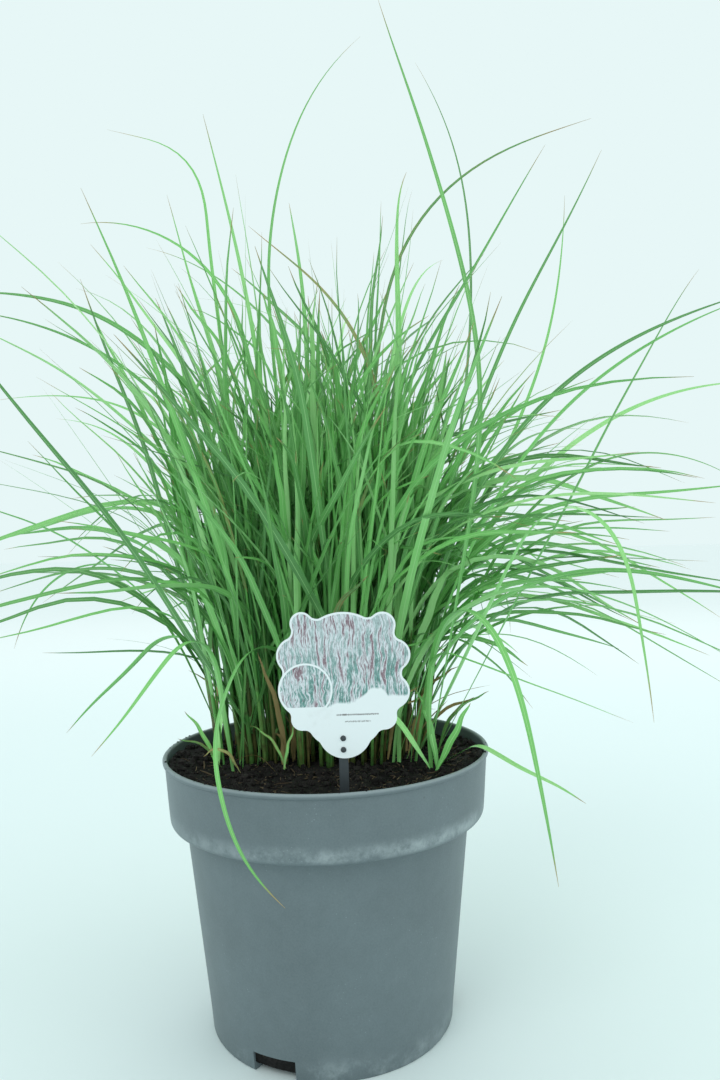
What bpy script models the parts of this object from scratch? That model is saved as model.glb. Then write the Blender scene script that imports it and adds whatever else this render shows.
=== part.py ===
"""Potted miscanthus grass clump in a nursery container, with its plant label.

Metres, +Z up, front toward -Y. The origin is the middle of the underside of the pot.
"""

import math

import bpy

MM = 0.001
GAP = 0.0004

# Pot: radius and height of each corner of the moulded wall, in millimetres.
POT_STEPS = 48
WALL = 1.6
RIM_HEIGHT = 190.0
RIM_RADIUS = 115.4
BASE_RADIUS = 85.3
FLOOR = 2.0
STEP_HEIGHT = 145.0

# Openings cut through the corner where the pot's wall meets its floor.
DRAIN_COUNT = 3
DRAIN_FIRST_ANGLE = -115.5
DRAIN_WIDTH = 0.030
DRAIN_HEIGHT = 0.013
DRAIN_INNER_RADIUS = 0.074

SOIL_LEVEL = 0.176

# Plant label.
PLATE_X = 0.0139
PLATE_Z = 0.2502
PLATE_FRONT_Y = -0.0945
PLATE_THICK = 0.0006
STAKE_X = 0.0127
STAKE_WIDTH = 0.0058
STAKE_THICK = 0.0020
STAKE_TOP = 0.229
STAKE_BOTTOM = 0.127
STUD_HEIGHTS = (0.2177, 0.2107)
STUD_RADIUS = 0.0010
STUD_HEAD_RADIUS = 0.00175
STUD_HEAD_THICK = 0.0007
HOLE_RADIUS = 0.0014

# The scalloped outline is the outer edge of these discs together: x, height and radius
# from the middle of the plate, in millimetres.
PLATE_DISCS = (
    (0.0, 0.0, 30.0),
    (-25.0, 38.2, 7.0),
    (0.0, 16.4, 28.2),
    (24.5, 36.0, 8.1),
    (-29.5, 18.7, 11.2),
    (31.4, 17.6, 9.8),
    (-23.4, -2.6, 16.7),
    (29.8, -5.0, 10.5),
    (-25.8, -20.4, 6.8),
    (24.5, -20.4, 7.6),
    (0.0, -28.3, 16.6),
    (22.0, 6.0, 12.3),
    (14.0, -10.0, 17.0),
    (18.0, 22.0, 14.0),
    (-18.0, 22.0, 14.5),
    (8.0, -22.0, 14.5),
    (-8.0, -22.0, 14.5),
)
# Radius of the hollows between the scallops, in millimetres.
PLATE_FILLET = 4.5

# Culms stand on the soil in a flattened spiral behind the middle of the pot, and lean outward
# with their distance from the crown's middle.
CULM_COUNT = 16
CROWN_MIDDLE = (-4.0, 38.0)
CROWN_REACH = (70.0, 38.0)
CULM_PHASE = 20.0
GOLDEN_ANGLE = 137.508
CULM_LEAN_AT_EDGE = 8.0
CULM_RADIUS = 0.0016
CULM_HEIGHTS = (205, 250, 180, 230, 270, 195, 240)

BLADE_POINTS = 15
BLADE_ROOT_LIFT = 0.0012

# One blade per row, chosen by eye: root x and y (mm), compass direction of its lean (degrees,
# 0 to the right, 90 to the back), lean from upright at the root and past the bend (degrees),
# length (mm), where along it the bend is centred and how much of its length the bend takes
# (both as a share of the length), half width (mm), and how far the lean's direction turns
# by the tip (degrees).
BLADES = (
    (72, -12, 166, -11, 16, 555, 0.51, 0.5, 2.6, 0),
    (-16, 15, 11, -3, 73, 555, 0.92, 0.8, 2.2, 0),
    (-48, 40, 163, 5, 69, 540, 0.85, 0.2, 2.0, 0),
    (-36, 12, 178, 2, 165, 470, 0.95, 0.9, 2.6, 0),
    (-49, 10, 159, 8, 39, 430, 0.65, 0.3, 2.2, 0),
    (-20, 22, 215, 5, 14, 465, 0.66, 0.4, 2.4, 0),
    (-50, 0, 181, -5, 142, 465, 0.82, 1.5, 3.2, 0),
    (-29, 45, 194, 12, 136, 435, 0.89, 1.3, 2.2, 0),
    (-60, 25, 138, -4, 86, 420, 0.48, 1.4, 2.2, 0),
    (-63, 0, 155, -6, 91, 445, 0.53, 0.9, 1.8, 0),
    (31, 18, 156, -5, 47, 445, 0.66, 0.5, 2.6, 0),
    (52, -4, 44, 2, 165, 430, 1.09, 0.4, 3.8, 0),
    (16, 20, -28, 9, 36, 455, 0.56, 0.4, 2.4, 0),
    (6, 32, -16, 8, 78, 540, 0.76, 0.4, 1.8, 0),
    (24, 29, -36, 23, 32, 445, 0.65, 0.4, 2.0, 0),
    (26, 45, 36, 36, -29, 555, 0.99, 1.2, 2.0, 0),
    (75, -6, -4, 29, 69, 395, 1.1, 0.6, 2.2, 0),
    (42, 18, -19, 19, 81, 435, 0.67, 0.9, 2.8, 0),
    (52, 6, -6, 19, 87, 430, 0.74, 1.2, 2.8, 0),
    (49, 50, 16, 15, 97, 500, 0.57, 1.5, 3.0, 0),
    (58, 4, 5, 25, 167, 400, 0.8, 1.1, 1.8, 0),
    (66, 11, 5, -2, 87, 390, 0.38, 0.8, 2.6, 0),
    (60, -8, -7, -5, 107, 315, 0.38, 1.2, 2.8, 0),
    (48, -4, -49, -4, 116, 335, 0.38, 1.2, 2.8, 0),
    (68, 20, -60, 37, 172, 385, 0.66, 0.4, 2.4, 0),
    (73, -23, -73, -4, 160, 330, 0.42, 0.8, 2.8, 0),
    (81, -12, -55, 60, 101, 135, 0.31, 0.2, 2.4, 0),
    (-60, -8, 165, -4, 104, 305, 0.43, 0.9, 2.4, 0),
    (-68, 20, 153, -8, 101, 405, 0.42, 0.7, 2.4, 0),
    (-55, 50, 151, 30, 168, 370, 0.66, 1.1, 2.2, 0),
    (-66, -14, 250, 14, 117, 235, 0.45, 0.4, 2.4, 0),
    (-75, 4, 155, 6, 130, 245, 0.4, 0.4, 2.4, 0),
    (-15, 13, -133, 3, 129, 318, 0.3, 0.45, 2.6, 109),
    (8, 68, 84, 8, 88, 480, 0.75, 0.9, 2.6, 0),
    (-22, 66, 112, 6, 96, 470, 0.7, 0.9, 2.4, 0),
    (34, 66, 62, 9, 80, 500, 0.8, 0.8, 2.6, 0),
    (-6, 50, 98, 2, 60, 520, 0.75, 0.9, 2.4, 0),
    (-14, 26, -105, 4, 84, 330, 0.7, 0.9, 2.2, 0),
    (20, 25, -74, 6, 80, 340, 0.7, 0.9, 2.2, 0),
    (70, 32, 40, 12, 92, 400, 0.6, 0.9, 2.4, 0),
)


def clear_scene():
    """Remove every object that the session starts with."""
    for obj in list(bpy.data.objects):
        bpy.data.objects.remove(obj, do_unlink=True)


def make_collection(name):
    """Add a collection to the scene."""
    collection = bpy.data.collections.new(name)
    bpy.context.scene.collection.children.link(collection)
    return collection


def make_material(name, colour, roughness):
    """Make a plain material of one colour."""
    material = bpy.data.materials.new(name)
    material.use_nodes = True
    shader = material.node_tree.nodes["Principled BSDF"]
    shader.inputs["Base Color"].default_value = (*colour, 1.0)
    shader.inputs["Roughness"].default_value = roughness
    return material


def add_object(name, data, collection, material=None):
    """Put one object in a collection, with its material."""
    obj = bpy.data.objects.new(name, data)
    collection.objects.link(obj)
    if material is not None:
        data.materials.append(material)
    return obj


def mark_helper(obj):
    """Keep a cutter or guide out of the finished part."""
    obj.hide_render = True
    obj.display_type = "WIRE"
    return obj


def add_box(name, size, centre, collection):
    """Make a box from its size and its middle."""
    corners = [
        ((i - 0.5) * size[0], (j - 0.5) * size[1], (k - 0.5) * size[2])
        for i in (0, 1)
        for j in (0, 1)
        for k in (0, 1)
    ]
    faces = [(0, 1, 3, 2), (4, 6, 7, 5), (0, 4, 5, 1), (2, 3, 7, 6), (0, 2, 6, 4), (1, 5, 7, 3)]
    mesh = bpy.data.meshes.new(name)
    mesh.from_pydata(corners, [], faces)
    obj = add_object(name, mesh, collection)
    obj.location = centre
    return obj


def add_turned(name, profile, collection, material):
    """Turn a profile of (radius, height) points in millimetres around the vertical axis."""
    mesh = bpy.data.meshes.new(name)
    points = [(radius * MM, 0.0, height * MM) for radius, height in profile]
    edges = [(i, i + 1) for i in range(len(points) - 1)]
    mesh.from_pydata(points, edges, [])
    obj = add_object(name, mesh, collection, material)
    screw = obj.modifiers.new("Turn", "SCREW")
    screw.steps = POT_STEPS
    screw.render_steps = POT_STEPS
    screw.use_merge_vertices = True
    screw.merge_threshold = 0.00005
    screw.use_smooth_shade = False
    return obj


def cut(obj, cutter):
    """Cut one shape out of another."""
    boolean = obj.modifiers.new("Cut " + cutter.name, "BOOLEAN")
    boolean.operation = "DIFFERENCE"
    boolean.solver = "EXACT"
    boolean.object = cutter


def make_pot(collection, cutters):
    """One moulded container: floor, tapered body, step, collar and rolled lip."""
    taper = 0.1044
    step_body_radius = BASE_RADIUS + taper * (STEP_HEIGHT - 1.5)
    outer = [
        (RIM_RADIUS - 1.8, RIM_HEIGHT),
        (RIM_RADIUS - 0.5, RIM_HEIGHT - 0.4),
        (RIM_RADIUS, RIM_HEIGHT - 1.7),
        (RIM_RADIUS - 0.4, RIM_HEIGHT - 3.0),
        (RIM_RADIUS - 1.5, RIM_HEIGHT - 3.7),
        (111.4, STEP_HEIGHT + 5.5),
        (110.6, STEP_HEIGHT + 2.6),
        (108.6, STEP_HEIGHT + 0.6),
        (106.0, STEP_HEIGHT),
        (step_body_radius + 1.2, STEP_HEIGHT - 0.4),
        (step_body_radius, STEP_HEIGHT - 1.5),
        (BASE_RADIUS + 0.2, 1.6),
        (BASE_RADIUS - 0.8, 0.0),
        (0.0, 0.0),
    ]
    inner = [
        (0.0, FLOOR),
        (BASE_RADIUS - 4.6, FLOOR),
        (BASE_RADIUS - WALL + 0.4, FLOOR + 3.0),
        (step_body_radius - WALL, STEP_HEIGHT - 0.4),
        (step_body_radius, STEP_HEIGHT + 1.3),
        (105.8, STEP_HEIGHT + 1.6),
        (107.9, STEP_HEIGHT + 2.1),
        (109.1, STEP_HEIGHT + 3.4),
        (111.4 - WALL, STEP_HEIGHT + 5.8),
        (RIM_RADIUS - 3.0, RIM_HEIGHT - 3.0),
        (RIM_RADIUS - 2.5, RIM_HEIGHT - 0.8),
    ]
    material = make_material("grey_blue_plastic", (0.12, 0.17, 0.19), 0.5)
    pot = add_turned("pot", inner + outer, collection, material)
    for index in range(DRAIN_COUNT):
        angle = math.radians(DRAIN_FIRST_ANGLE + index * 360.0 / DRAIN_COUNT)
        reach = 0.030
        middle = DRAIN_INNER_RADIUS + reach / 2.0
        centre = (middle * math.cos(angle), middle * math.sin(angle), 0.0)
        cutter = add_box(
            f"drain_cutter_{index + 1}", (reach, DRAIN_WIDTH, 2.0 * DRAIN_HEIGHT), centre, cutters
        )
        cutter.rotation_euler = (0.0, 0.0, angle)
        cut(pot, mark_helper(cutter))
    return pot


def make_soil(collection, cutters):
    """The peat that fills the pot, a fraction of a millimetre clear of its wall."""
    gap = GAP / MM
    taper = 0.1044
    step_body_radius = BASE_RADIUS + taper * (STEP_HEIGHT - 1.5)
    level = SOIL_LEVEL / MM
    profile = [
        (0.0, level),
        (60.0, level),
        (111.0, level),
        (111.4 - WALL - gap, STEP_HEIGHT + 6.0),
        (108.7, STEP_HEIGHT + 3.8),
        (107.6, STEP_HEIGHT + 2.6),
        (105.6, STEP_HEIGHT + 2.1),
        (step_body_radius - 0.3, STEP_HEIGHT + 1.8),
        (step_body_radius - WALL - gap, STEP_HEIGHT - 0.2),
        (BASE_RADIUS - WALL, FLOOR + 3.2),
        (BASE_RADIUS - 4.8, FLOOR + gap),
        (0.0, FLOOR + gap),
    ]
    material = make_material("peat_soil", (0.03, 0.022, 0.017), 0.95)
    soil = add_turned("soil", profile, collection, material)
    top = SOIL_LEVEL + 0.010
    bottom = STAKE_BOTTOM - GAP
    size = (STAKE_WIDTH + 2.0 * GAP, STAKE_THICK + 2.0 * GAP, top - bottom)
    stake_y = PLATE_FRONT_Y + PLATE_THICK + GAP + STAKE_THICK / 2.0
    slot = add_box("stake_slot_cutter", size, (STAKE_X, stake_y, (top + bottom) / 2.0), cutters)
    cut(soil, mark_helper(slot))
    return soil


def disc_reach(direction, disc):
    """How far a ray from the plate's middle runs before it leaves a disc, or zero."""
    x, z, radius = disc
    along = x * direction[0] + z * direction[1]
    across = x * direction[1] - z * direction[0]
    if abs(across) >= radius:
        return 0.0
    return along + math.sqrt(radius * radius - across * across)


def grown_reach(turn, grow):
    """Reach of the discs' common outline along a ray, with every disc grown by one amount."""
    direction = (math.cos(turn), math.sin(turn))
    return max(disc_reach(direction, (x, z, radius + grow)) for x, z, radius in PLATE_DISCS)


def plate_reach(turn, grown_rim):
    """Reach of the plate's edge along a ray: the grown outline moved back in by the same amount,
    which rounds the hollows between the scallops. The place is found by halving."""
    low, high = 0.0, grown_reach(turn, PLATE_FILLET)
    for _ in range(24):
        middle = 0.5 * (low + high)
        x, z = middle * math.cos(turn), middle * math.sin(turn)
        if min(math.hypot(x - rim_x, z - rim_z) for rim_x, rim_z in grown_rim) > PLATE_FILLET:
            low = middle
        else:
            high = middle
    return low


def ring_points(centre, radius, count):
    """Points of a small circle."""
    turns = [2.0 * math.pi * i / count for i in range(count)]
    return [(centre[0] + radius * math.cos(t), centre[1] + radius * math.sin(t)) for t in turns]


def add_loop(curve, points):
    """Add one closed outline to a flat curve."""
    spline = curve.splines.new("POLY")
    spline.points.add(len(points) - 1)
    for point, (x, y) in zip(spline.points, points):
        point.co = (x, y, 0.0, 1.0)
    spline.use_cyclic_u = True


def make_plate(collection):
    """The flat scalloped plate of the label, with two holes for the studs."""
    grown_rim = []
    for i in range(480):
        turn = 2.0 * math.pi * i / 480
        reach = grown_reach(turn, PLATE_FILLET)
        grown_rim.append((reach * math.cos(turn), reach * math.sin(turn)))
    outline = []
    for i in range(96):
        turn = 2.0 * math.pi * i / 96
        reach = plate_reach(turn, grown_rim) * MM
        outline.append((reach * math.cos(turn), reach * math.sin(turn)))
    curve = bpy.data.curves.new("tag_plate", "CURVE")
    curve.dimensions = "2D"
    curve.fill_mode = "BOTH"
    curve.extrude = PLATE_THICK / 2.0
    add_loop(curve, outline)
    for height in STUD_HEIGHTS:
        add_loop(curve, ring_points((STAKE_X - PLATE_X, height - PLATE_Z), HOLE_RADIUS, 12))
    material = make_material("white_plastic_label", (0.8, 0.84, 0.85), 0.4)
    plate = add_object("tag_plate", curve, collection, material)
    plate.location = (PLATE_X, PLATE_FRONT_Y + PLATE_THICK / 2.0, PLATE_Z)
    plate.rotation_euler = (math.pi / 2.0, 0.0, 0.0)
    return plate


def make_stake(collection, cutters):
    """The label's flat stake, with two round-headed studs that pass through the plate."""
    back = PLATE_FRONT_Y + PLATE_THICK + GAP
    centre = (STAKE_X, back + STAKE_THICK / 2.0, (STAKE_TOP + STAKE_BOTTOM) / 2.0)
    size = (STAKE_WIDTH, STAKE_THICK, STAKE_TOP - STAKE_BOTTOM)
    stake = add_box("tag_stake", size, centre, collection)
    stake.data.materials.append(make_material("dark_grey_plastic", (0.06, 0.065, 0.07), 0.5))
    front = PLATE_FRONT_Y - GAP
    for index, height in enumerate(STUD_HEIGHTS):
        pieces = (
            ("stem", STUD_RADIUS, front - 0.0001, back + 0.0010),
            ("head", STUD_HEAD_RADIUS, front - STUD_HEAD_THICK, front),
        )
        for label, radius, start, end in pieces:
            bpy.ops.mesh.primitive_cylinder_add(
                vertices=12,
                radius=radius,
                depth=end - start,
                location=(STAKE_X, (start + end) / 2.0, height),
                rotation=(math.pi / 2.0, 0.0, 0.0),
            )
            piece = bpy.context.object
            piece.name = f"stud_{label}_{index + 1}"
            for owner in list(piece.users_collection):
                owner.objects.unlink(piece)
            cutters.objects.link(piece)
            join = stake.modifiers.new("Join " + piece.name, "BOOLEAN")
            join.operation = "UNION"
            join.solver = "EXACT"
            join.object = mark_helper(piece)
    return stake


def culm_root(index):
    """Share of the way to the crown's edge, and direction: an even spiral, so no two are close."""
    share = math.sqrt((index + 0.5) / CULM_COUNT)
    angle = math.radians(CULM_PHASE + index * GOLDEN_ANGLE)
    return share, angle


def make_culm(index, collection, material):
    """One upright stem that thins toward its top and leans away from the middle."""
    edge_share, angle = culm_root(index)
    height = CULM_HEIGHTS[index % len(CULM_HEIGHTS)] * MM
    lean = math.radians(CULM_LEAN_AT_EDGE * edge_share)
    curve = bpy.data.curves.new(f"culm_{index + 1:02d}", "CURVE")
    curve.dimensions = "3D"
    curve.bevel_depth = CULM_RADIUS
    curve.bevel_resolution = 2
    curve.use_fill_caps = True
    spline = curve.splines.new("POLY")
    shares = (0.0, 0.02, 0.35, 0.7, 1.0)
    spline.points.add(len(shares) - 1)
    for point, share in zip(spline.points, shares):
        rise = share * height
        drift = max(0.0, rise - 0.02 * height) * math.tan(lean)
        x = (CROWN_MIDDLE[0] + CROWN_REACH[0] * edge_share * math.cos(angle)) * MM
        y = (CROWN_MIDDLE[1] + CROWN_REACH[1] * edge_share * math.sin(angle)) * MM
        x += drift * math.cos(angle)
        y += drift * math.sin(angle)
        point.co = (x, y, SOIL_LEVEL + GAP + rise, 1.0)
        point.radius = 1.0 - 0.45 * share
    return add_object(curve.name, curve, collection, material)


def blade_path(row, count):
    """Middle line of a blade, in short straight steps, and the lean of each step.

    The lean eases from the first step's to the last step's.
    """
    x, y, heading, lean_root, lean_end, length, bend_at, bend_span, _, turn = row
    step = length * MM / (count - 1)
    point = [x * MM, y * MM, SOIL_LEVEL + BLADE_ROOT_LIFT]
    path = [tuple(point)]
    leans = []
    for i in range(count - 1):
        share = (i + 0.5) / (count - 1)
        ease = min(1.0, max(0.0, (share - bend_at) / bend_span + 0.5))
        ease = ease * ease * (3.0 - 2.0 * ease)
        lean = math.radians(lean_root + (lean_end - lean_root) * ease)
        azimuth = math.radians(heading + turn * share * share)
        point[0] += step * math.sin(lean) * math.cos(azimuth)
        point[1] += step * math.sin(lean) * math.sin(azimuth)
        point[2] += step * math.cos(lean)
        path.append(tuple(point))
        leans.append(lean)
    return path, leans


def blade_width(share):
    """Half width along a blade, as a share of the widest: narrow root, long fine tip."""
    swell = min(1.0, 0.5 + 1.6 * share)
    return max(0.1, swell * (1.0 - share**2.4) ** 0.8)


def make_blade_section(collection):
    """The shallow V of a blade across its width, one millimetre each side of the midrib."""
    curve = bpy.data.curves.new("blade_section", "CURVE")
    curve.dimensions = "2D"
    add_loop(curve, [(0.0, 0.00010), (0.0010, 0.00022), (0.0, -0.00012), (-0.0010, 0.00022)])
    return mark_helper(add_object("blade_section", curve, collection))


def make_blade(index, row, section, collection, material):
    """One grass blade: the V section carried along its path and narrowed to a tip."""
    curve = bpy.data.curves.new(f"leaf_{index + 1:02d}", "CURVE")
    curve.dimensions = "3D"
    curve.twist_mode = "Z_UP"
    curve.bevel_mode = "OBJECT"
    curve.bevel_object = section
    curve.use_fill_caps = True
    path, leans = blade_path(row, BLADE_POINTS)
    before = leans[:1] + leans
    after = leans + leans[-1:]
    spline = curve.splines.new("POLY")
    spline.points.add(len(path) - 1)
    for i, (point, place) in enumerate(zip(spline.points, path)):
        point.co = (*place, 1.0)
        point.radius = row[8] * blade_width(i / (len(path) - 1))
        # A curve turns its section half round where it passes the upright. This undoes it.
        point.tilt = math.pi if before[i] + after[i] < 0.0 else 0.0
    return add_object(curve.name, curve, collection, material)


def main():
    clear_scene()
    clump = make_collection("potted_miscanthus")
    helpers = make_collection("cutters_and_guides")
    make_pot(clump, helpers)
    make_soil(clump, helpers)
    make_plate(clump)
    make_stake(clump, helpers)
    culm_green = make_material("brown_green_culm", (0.13, 0.17, 0.05), 0.6)
    for index in range(CULM_COUNT):
        make_culm(index, clump, culm_green)
    blade_green = make_material("fresh_green_blade", (0.08, 0.32, 0.05), 0.5)
    section = make_blade_section(helpers)
    for index, row in enumerate(BLADES):
        make_blade(index, row, section, clump, blade_green)


main()
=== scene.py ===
"""Potted miscanthus grass clump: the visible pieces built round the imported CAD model.

Metres, +Z up, front toward -Y. The origin is the middle of the underside of the pot.
"""

import math

import bpy
import numpy as np
from bpy.props import (
    FloatProperty,
    FloatVectorProperty,
    IntProperty,
    PointerProperty,
)
from mathutils import Matrix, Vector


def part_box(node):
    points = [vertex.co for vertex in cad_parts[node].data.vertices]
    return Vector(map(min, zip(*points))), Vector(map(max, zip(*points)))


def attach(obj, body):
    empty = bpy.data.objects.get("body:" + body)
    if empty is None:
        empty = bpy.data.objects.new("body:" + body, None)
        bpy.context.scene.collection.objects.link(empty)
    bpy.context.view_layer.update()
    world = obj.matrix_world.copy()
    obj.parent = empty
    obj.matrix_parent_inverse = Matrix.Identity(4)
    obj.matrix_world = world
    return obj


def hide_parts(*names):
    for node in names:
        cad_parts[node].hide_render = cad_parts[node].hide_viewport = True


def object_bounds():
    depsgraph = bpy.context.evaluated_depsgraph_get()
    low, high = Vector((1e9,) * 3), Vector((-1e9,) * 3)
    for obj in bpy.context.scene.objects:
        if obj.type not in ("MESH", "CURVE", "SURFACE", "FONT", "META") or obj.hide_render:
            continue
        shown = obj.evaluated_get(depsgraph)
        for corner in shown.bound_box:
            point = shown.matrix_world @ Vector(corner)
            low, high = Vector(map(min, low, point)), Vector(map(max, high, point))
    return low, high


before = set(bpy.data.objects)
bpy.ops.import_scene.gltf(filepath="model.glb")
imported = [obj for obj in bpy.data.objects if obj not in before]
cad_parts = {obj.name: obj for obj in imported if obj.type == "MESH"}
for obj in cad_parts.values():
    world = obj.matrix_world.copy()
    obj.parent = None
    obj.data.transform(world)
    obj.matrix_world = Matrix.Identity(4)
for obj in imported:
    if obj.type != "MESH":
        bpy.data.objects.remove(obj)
CAD_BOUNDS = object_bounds()

bl_info = {
    "name": "Potted Miscanthus Clump",
    "version": (1, 0, 0),
    "blender": (4, 5, 0),
    "location": "3D View > Sidebar > Potted Grass",
    "description": "Builds a potted clump of miscanthus grass with its plant label",
    "category": "Object",
}

MM = 0.001
_, POT_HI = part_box("pot")
_, SOIL_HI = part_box("soil")
PLATE_LO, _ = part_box("tag_plate")
STAKE_LO, STAKE_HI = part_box("tag_stake")
LEAF_NODES = sorted(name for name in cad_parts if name.startswith("leaf_"))
CULM_NODES = sorted(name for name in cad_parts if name.startswith("culm_"))

# The pot's moulded wall, as in the CAD model, in millimetres.
WALL = 1.6
RIM_HEIGHT = POT_HI.z / MM
RIM_RADIUS = POT_HI.x / MM
BASE_RADIUS = 85.3
FLOOR = 2.0
STEP_HEIGHT = 145.0
TAPER = 0.1044
STEP_BODY_RADIUS = BASE_RADIUS + TAPER * (STEP_HEIGHT - 1.5)
DRAIN_COUNT = 3
DRAIN_FIRST_ANGLE = -115.5
DRAIN_WIDTH = 30.0
DRAIN_HEIGHT = 13.0
DRAIN_INNER_RADIUS = 74.0
DRAIN_TOP_RADIUS = BASE_RADIUS + TAPER * (DRAIN_HEIGHT - 1.6)
# The collar's outer radius close over the step, and the size of its rolled lip.
COLLAR_RADIUS = 111.4
LIP_ROLL = 3.0

SOIL_LEVEL = SOIL_HI.z
# Room between the soil and the pot, in millimetres.
SOIL_GAP = 0.4
SOIL_RINGS = 70
SOIL_COLUMNS = 240
# Profiles of the pot and of the soil's side, as radius and height in millimetres. The two
# marked round are rounded before use.
ROUND_OUTER_WALL = np.array(
    [
        (RIM_RADIUS - 1.5, RIM_HEIGHT - 3.7),
        (COLLAR_RADIUS, STEP_HEIGHT + 5.5),
        (110.7, STEP_HEIGHT + 1.4),
        (107.6, STEP_HEIGHT),
        (STEP_BODY_RADIUS + 0.6, STEP_HEIGHT - 0.4),
        (STEP_BODY_RADIUS - 0.1, STEP_HEIGHT - 2.0),
        (DRAIN_TOP_RADIUS, DRAIN_HEIGHT),
    ]
)
ROUND_LIP = np.array(
    [
        (RIM_RADIUS - LIP_ROLL, RIM_HEIGHT - LIP_ROLL),
        (RIM_RADIUS - 2.9, RIM_HEIGHT),
        (RIM_RADIUS, RIM_HEIGHT),
        (RIM_RADIUS, RIM_HEIGHT - LIP_ROLL),
        (RIM_RADIUS - 1.5, RIM_HEIGHT - 3.7),
    ]
)
INNER_WALL = np.array(
    [
        (DRAIN_TOP_RADIUS - WALL, DRAIN_HEIGHT),
        (STEP_BODY_RADIUS - WALL, STEP_HEIGHT - 0.4),
        (STEP_BODY_RADIUS, STEP_HEIGHT + 1.3),
        (105.8, STEP_HEIGHT + 1.6),
        (107.9, STEP_HEIGHT + 2.1),
        (109.1, STEP_HEIGHT + 3.4),
        (COLLAR_RADIUS - WALL, STEP_HEIGHT + 5.8),
        (RIM_RADIUS - LIP_ROLL, RIM_HEIGHT - LIP_ROLL),
    ]
)
FLOOR_PROFILE = np.array([(20.0, FLOOR), (50.0, FLOOR)])
LOW_INNER = np.array(
    [(DRAIN_INNER_RADIUS, FLOOR), (BASE_RADIUS - 4.6, FLOOR), (BASE_RADIUS - 1.3, 5.0)]
)
LOW_OUTER = np.array(
    [(BASE_RADIUS + 0.2, 1.6), (BASE_RADIUS - 0.8, 0.0), (DRAIN_INNER_RADIUS, 0.0)]
)
UNDER_PROFILE = np.array([(50.0, 0.0), (20.0, 0.0)])
SOIL_SIDE = np.array(
    [
        (COLLAR_RADIUS - WALL - SOIL_GAP, STEP_HEIGHT + 6.0),
        (108.7, STEP_HEIGHT + 3.8),
        (107.6, STEP_HEIGHT + 2.6),
        (105.6, STEP_HEIGHT + 2.1),
        (STEP_BODY_RADIUS - 0.3, STEP_HEIGHT + 1.8),
        (STEP_BODY_RADIUS - WALL - SOIL_GAP, STEP_HEIGHT - 0.2),
        (BASE_RADIUS - WALL, FLOOR + 3.2),
        (BASE_RADIUS - 4.8, FLOOR + SOIL_GAP),
    ]
)
# Loose pieces on the soil: how far out they lie, and how many crumbs lie on the lip's left and
# right sides.
CRUMB_REACH = 0.1085
FIBRE_REACH = 0.104
FIBRE_END_REACH = 0.1075
LIP_CRUMBS_LEFT = 12
LIP_CRUMBS_RIGHT = 4

# The label: its plate's middle, and the discs whose outer edge is its scalloped outline
# (x, height and radius from the middle, in millimetres).
PLATE_X = 0.0139
PLATE_Z = 0.2502
PLATE_FRONT_Y = PLATE_LO.y
PLATE_THICK = 0.0006
PLATE_DISCS = np.array(
    (
        (0.0, 0.0, 30.0),
        (-25.0, 38.2, 7.0),
        (0.0, 16.4, 28.2),
        (24.5, 36.0, 8.1),
        (-29.5, 18.7, 11.2),
        (31.4, 17.6, 9.8),
        (-23.4, -2.6, 16.7),
        (29.8, -5.0, 10.5),
        (-25.8, -20.4, 6.8),
        (24.5, -20.4, 7.6),
        (0.0, -28.3, 16.6),
        (22.0, 6.0, 12.3),
        (14.0, -10.0, 17.0),
        (18.0, 22.0, 14.0),
        (-18.0, 22.0, 14.5),
        (8.0, -22.0, 14.5),
        (-8.0, -22.0, 14.5),
    )
)
# Radius of the hollows between the scallops, in millimetres.
PLATE_FILLET = 4.5
# Rings and columns of the plate's surface, and the size of the bevel on its edge in millimetres.
PLATE_RINGS = 90
PLATE_COLUMNS = 480
PLATE_BEVEL = 0.06
# Width of the white ring round the print's inset, and the inset in the discs' columns.
INSET_RING = 1.3
INSET_DISC = (-23.4, -2.6, 15.2)
# Lower edge of the label's picture: x and height in millimetres.
PICTURE_EDGE = np.array(
    (
        (-42.0, -13.0),
        (-8.0, -13.0),
        (-4.9, -10.3),
        (2.8, -11.4),
        (6.6, -10.3),
        (13.5, -5.7),
        (16.6, -2.6),
        (22.7, -2.6),
        (27.3, -7.2),
        (38.1, -7.6),
        (42.0, -7.6),
    )
)
STAKE_X = 0.0127
STAKE_WIDTH = 0.0058
STAKE_THICK = 0.0020
STUD_HEIGHTS = (0.2177, 0.2107)
STUD_RADIUS = 0.00175
STUD_STEM_RADIUS = 0.0010
STUD_STEM = 0.0016
STUD_RISE = 0.0008

# The culms of the CAD model stand in a flattened spiral behind the pot's middle.
CROWN_MIDDLE = np.array((-0.004, 0.038))
CROWN_REACH = np.array((0.070, 0.038))
CULM_PHASE = 20.0
GOLDEN_ANGLE = 137.508
CULM_LEAN_AT_EDGE = 8.0
CULM_HEIGHTS = (205, 250, 180, 230, 270, 195, 240)
# A culm goes this far into the soil, and is upright for as far above it. Its rise is counted
# from just above the soil's level.
CULM_FOOT = 0.004
CULM_LIFT = 0.0004
# Rings of a culm: share of its length, and how much of a joint is there.
CULM_RINGS = np.array(
    [(0.0, 0.0), (0.10, 0.0), (0.12, 0.4), (0.135, 1.0), (0.15, 0.3), (0.30, 0.0), (0.42, 0.0)]
    + [(0.44, 1.0), (0.46, 0.3), (0.72, 0.0), (0.74, 1.0), (0.76, 0.3), (1.0, 0.0)]
)

BLADE_ROOT_LIFT = 0.0012

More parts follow.
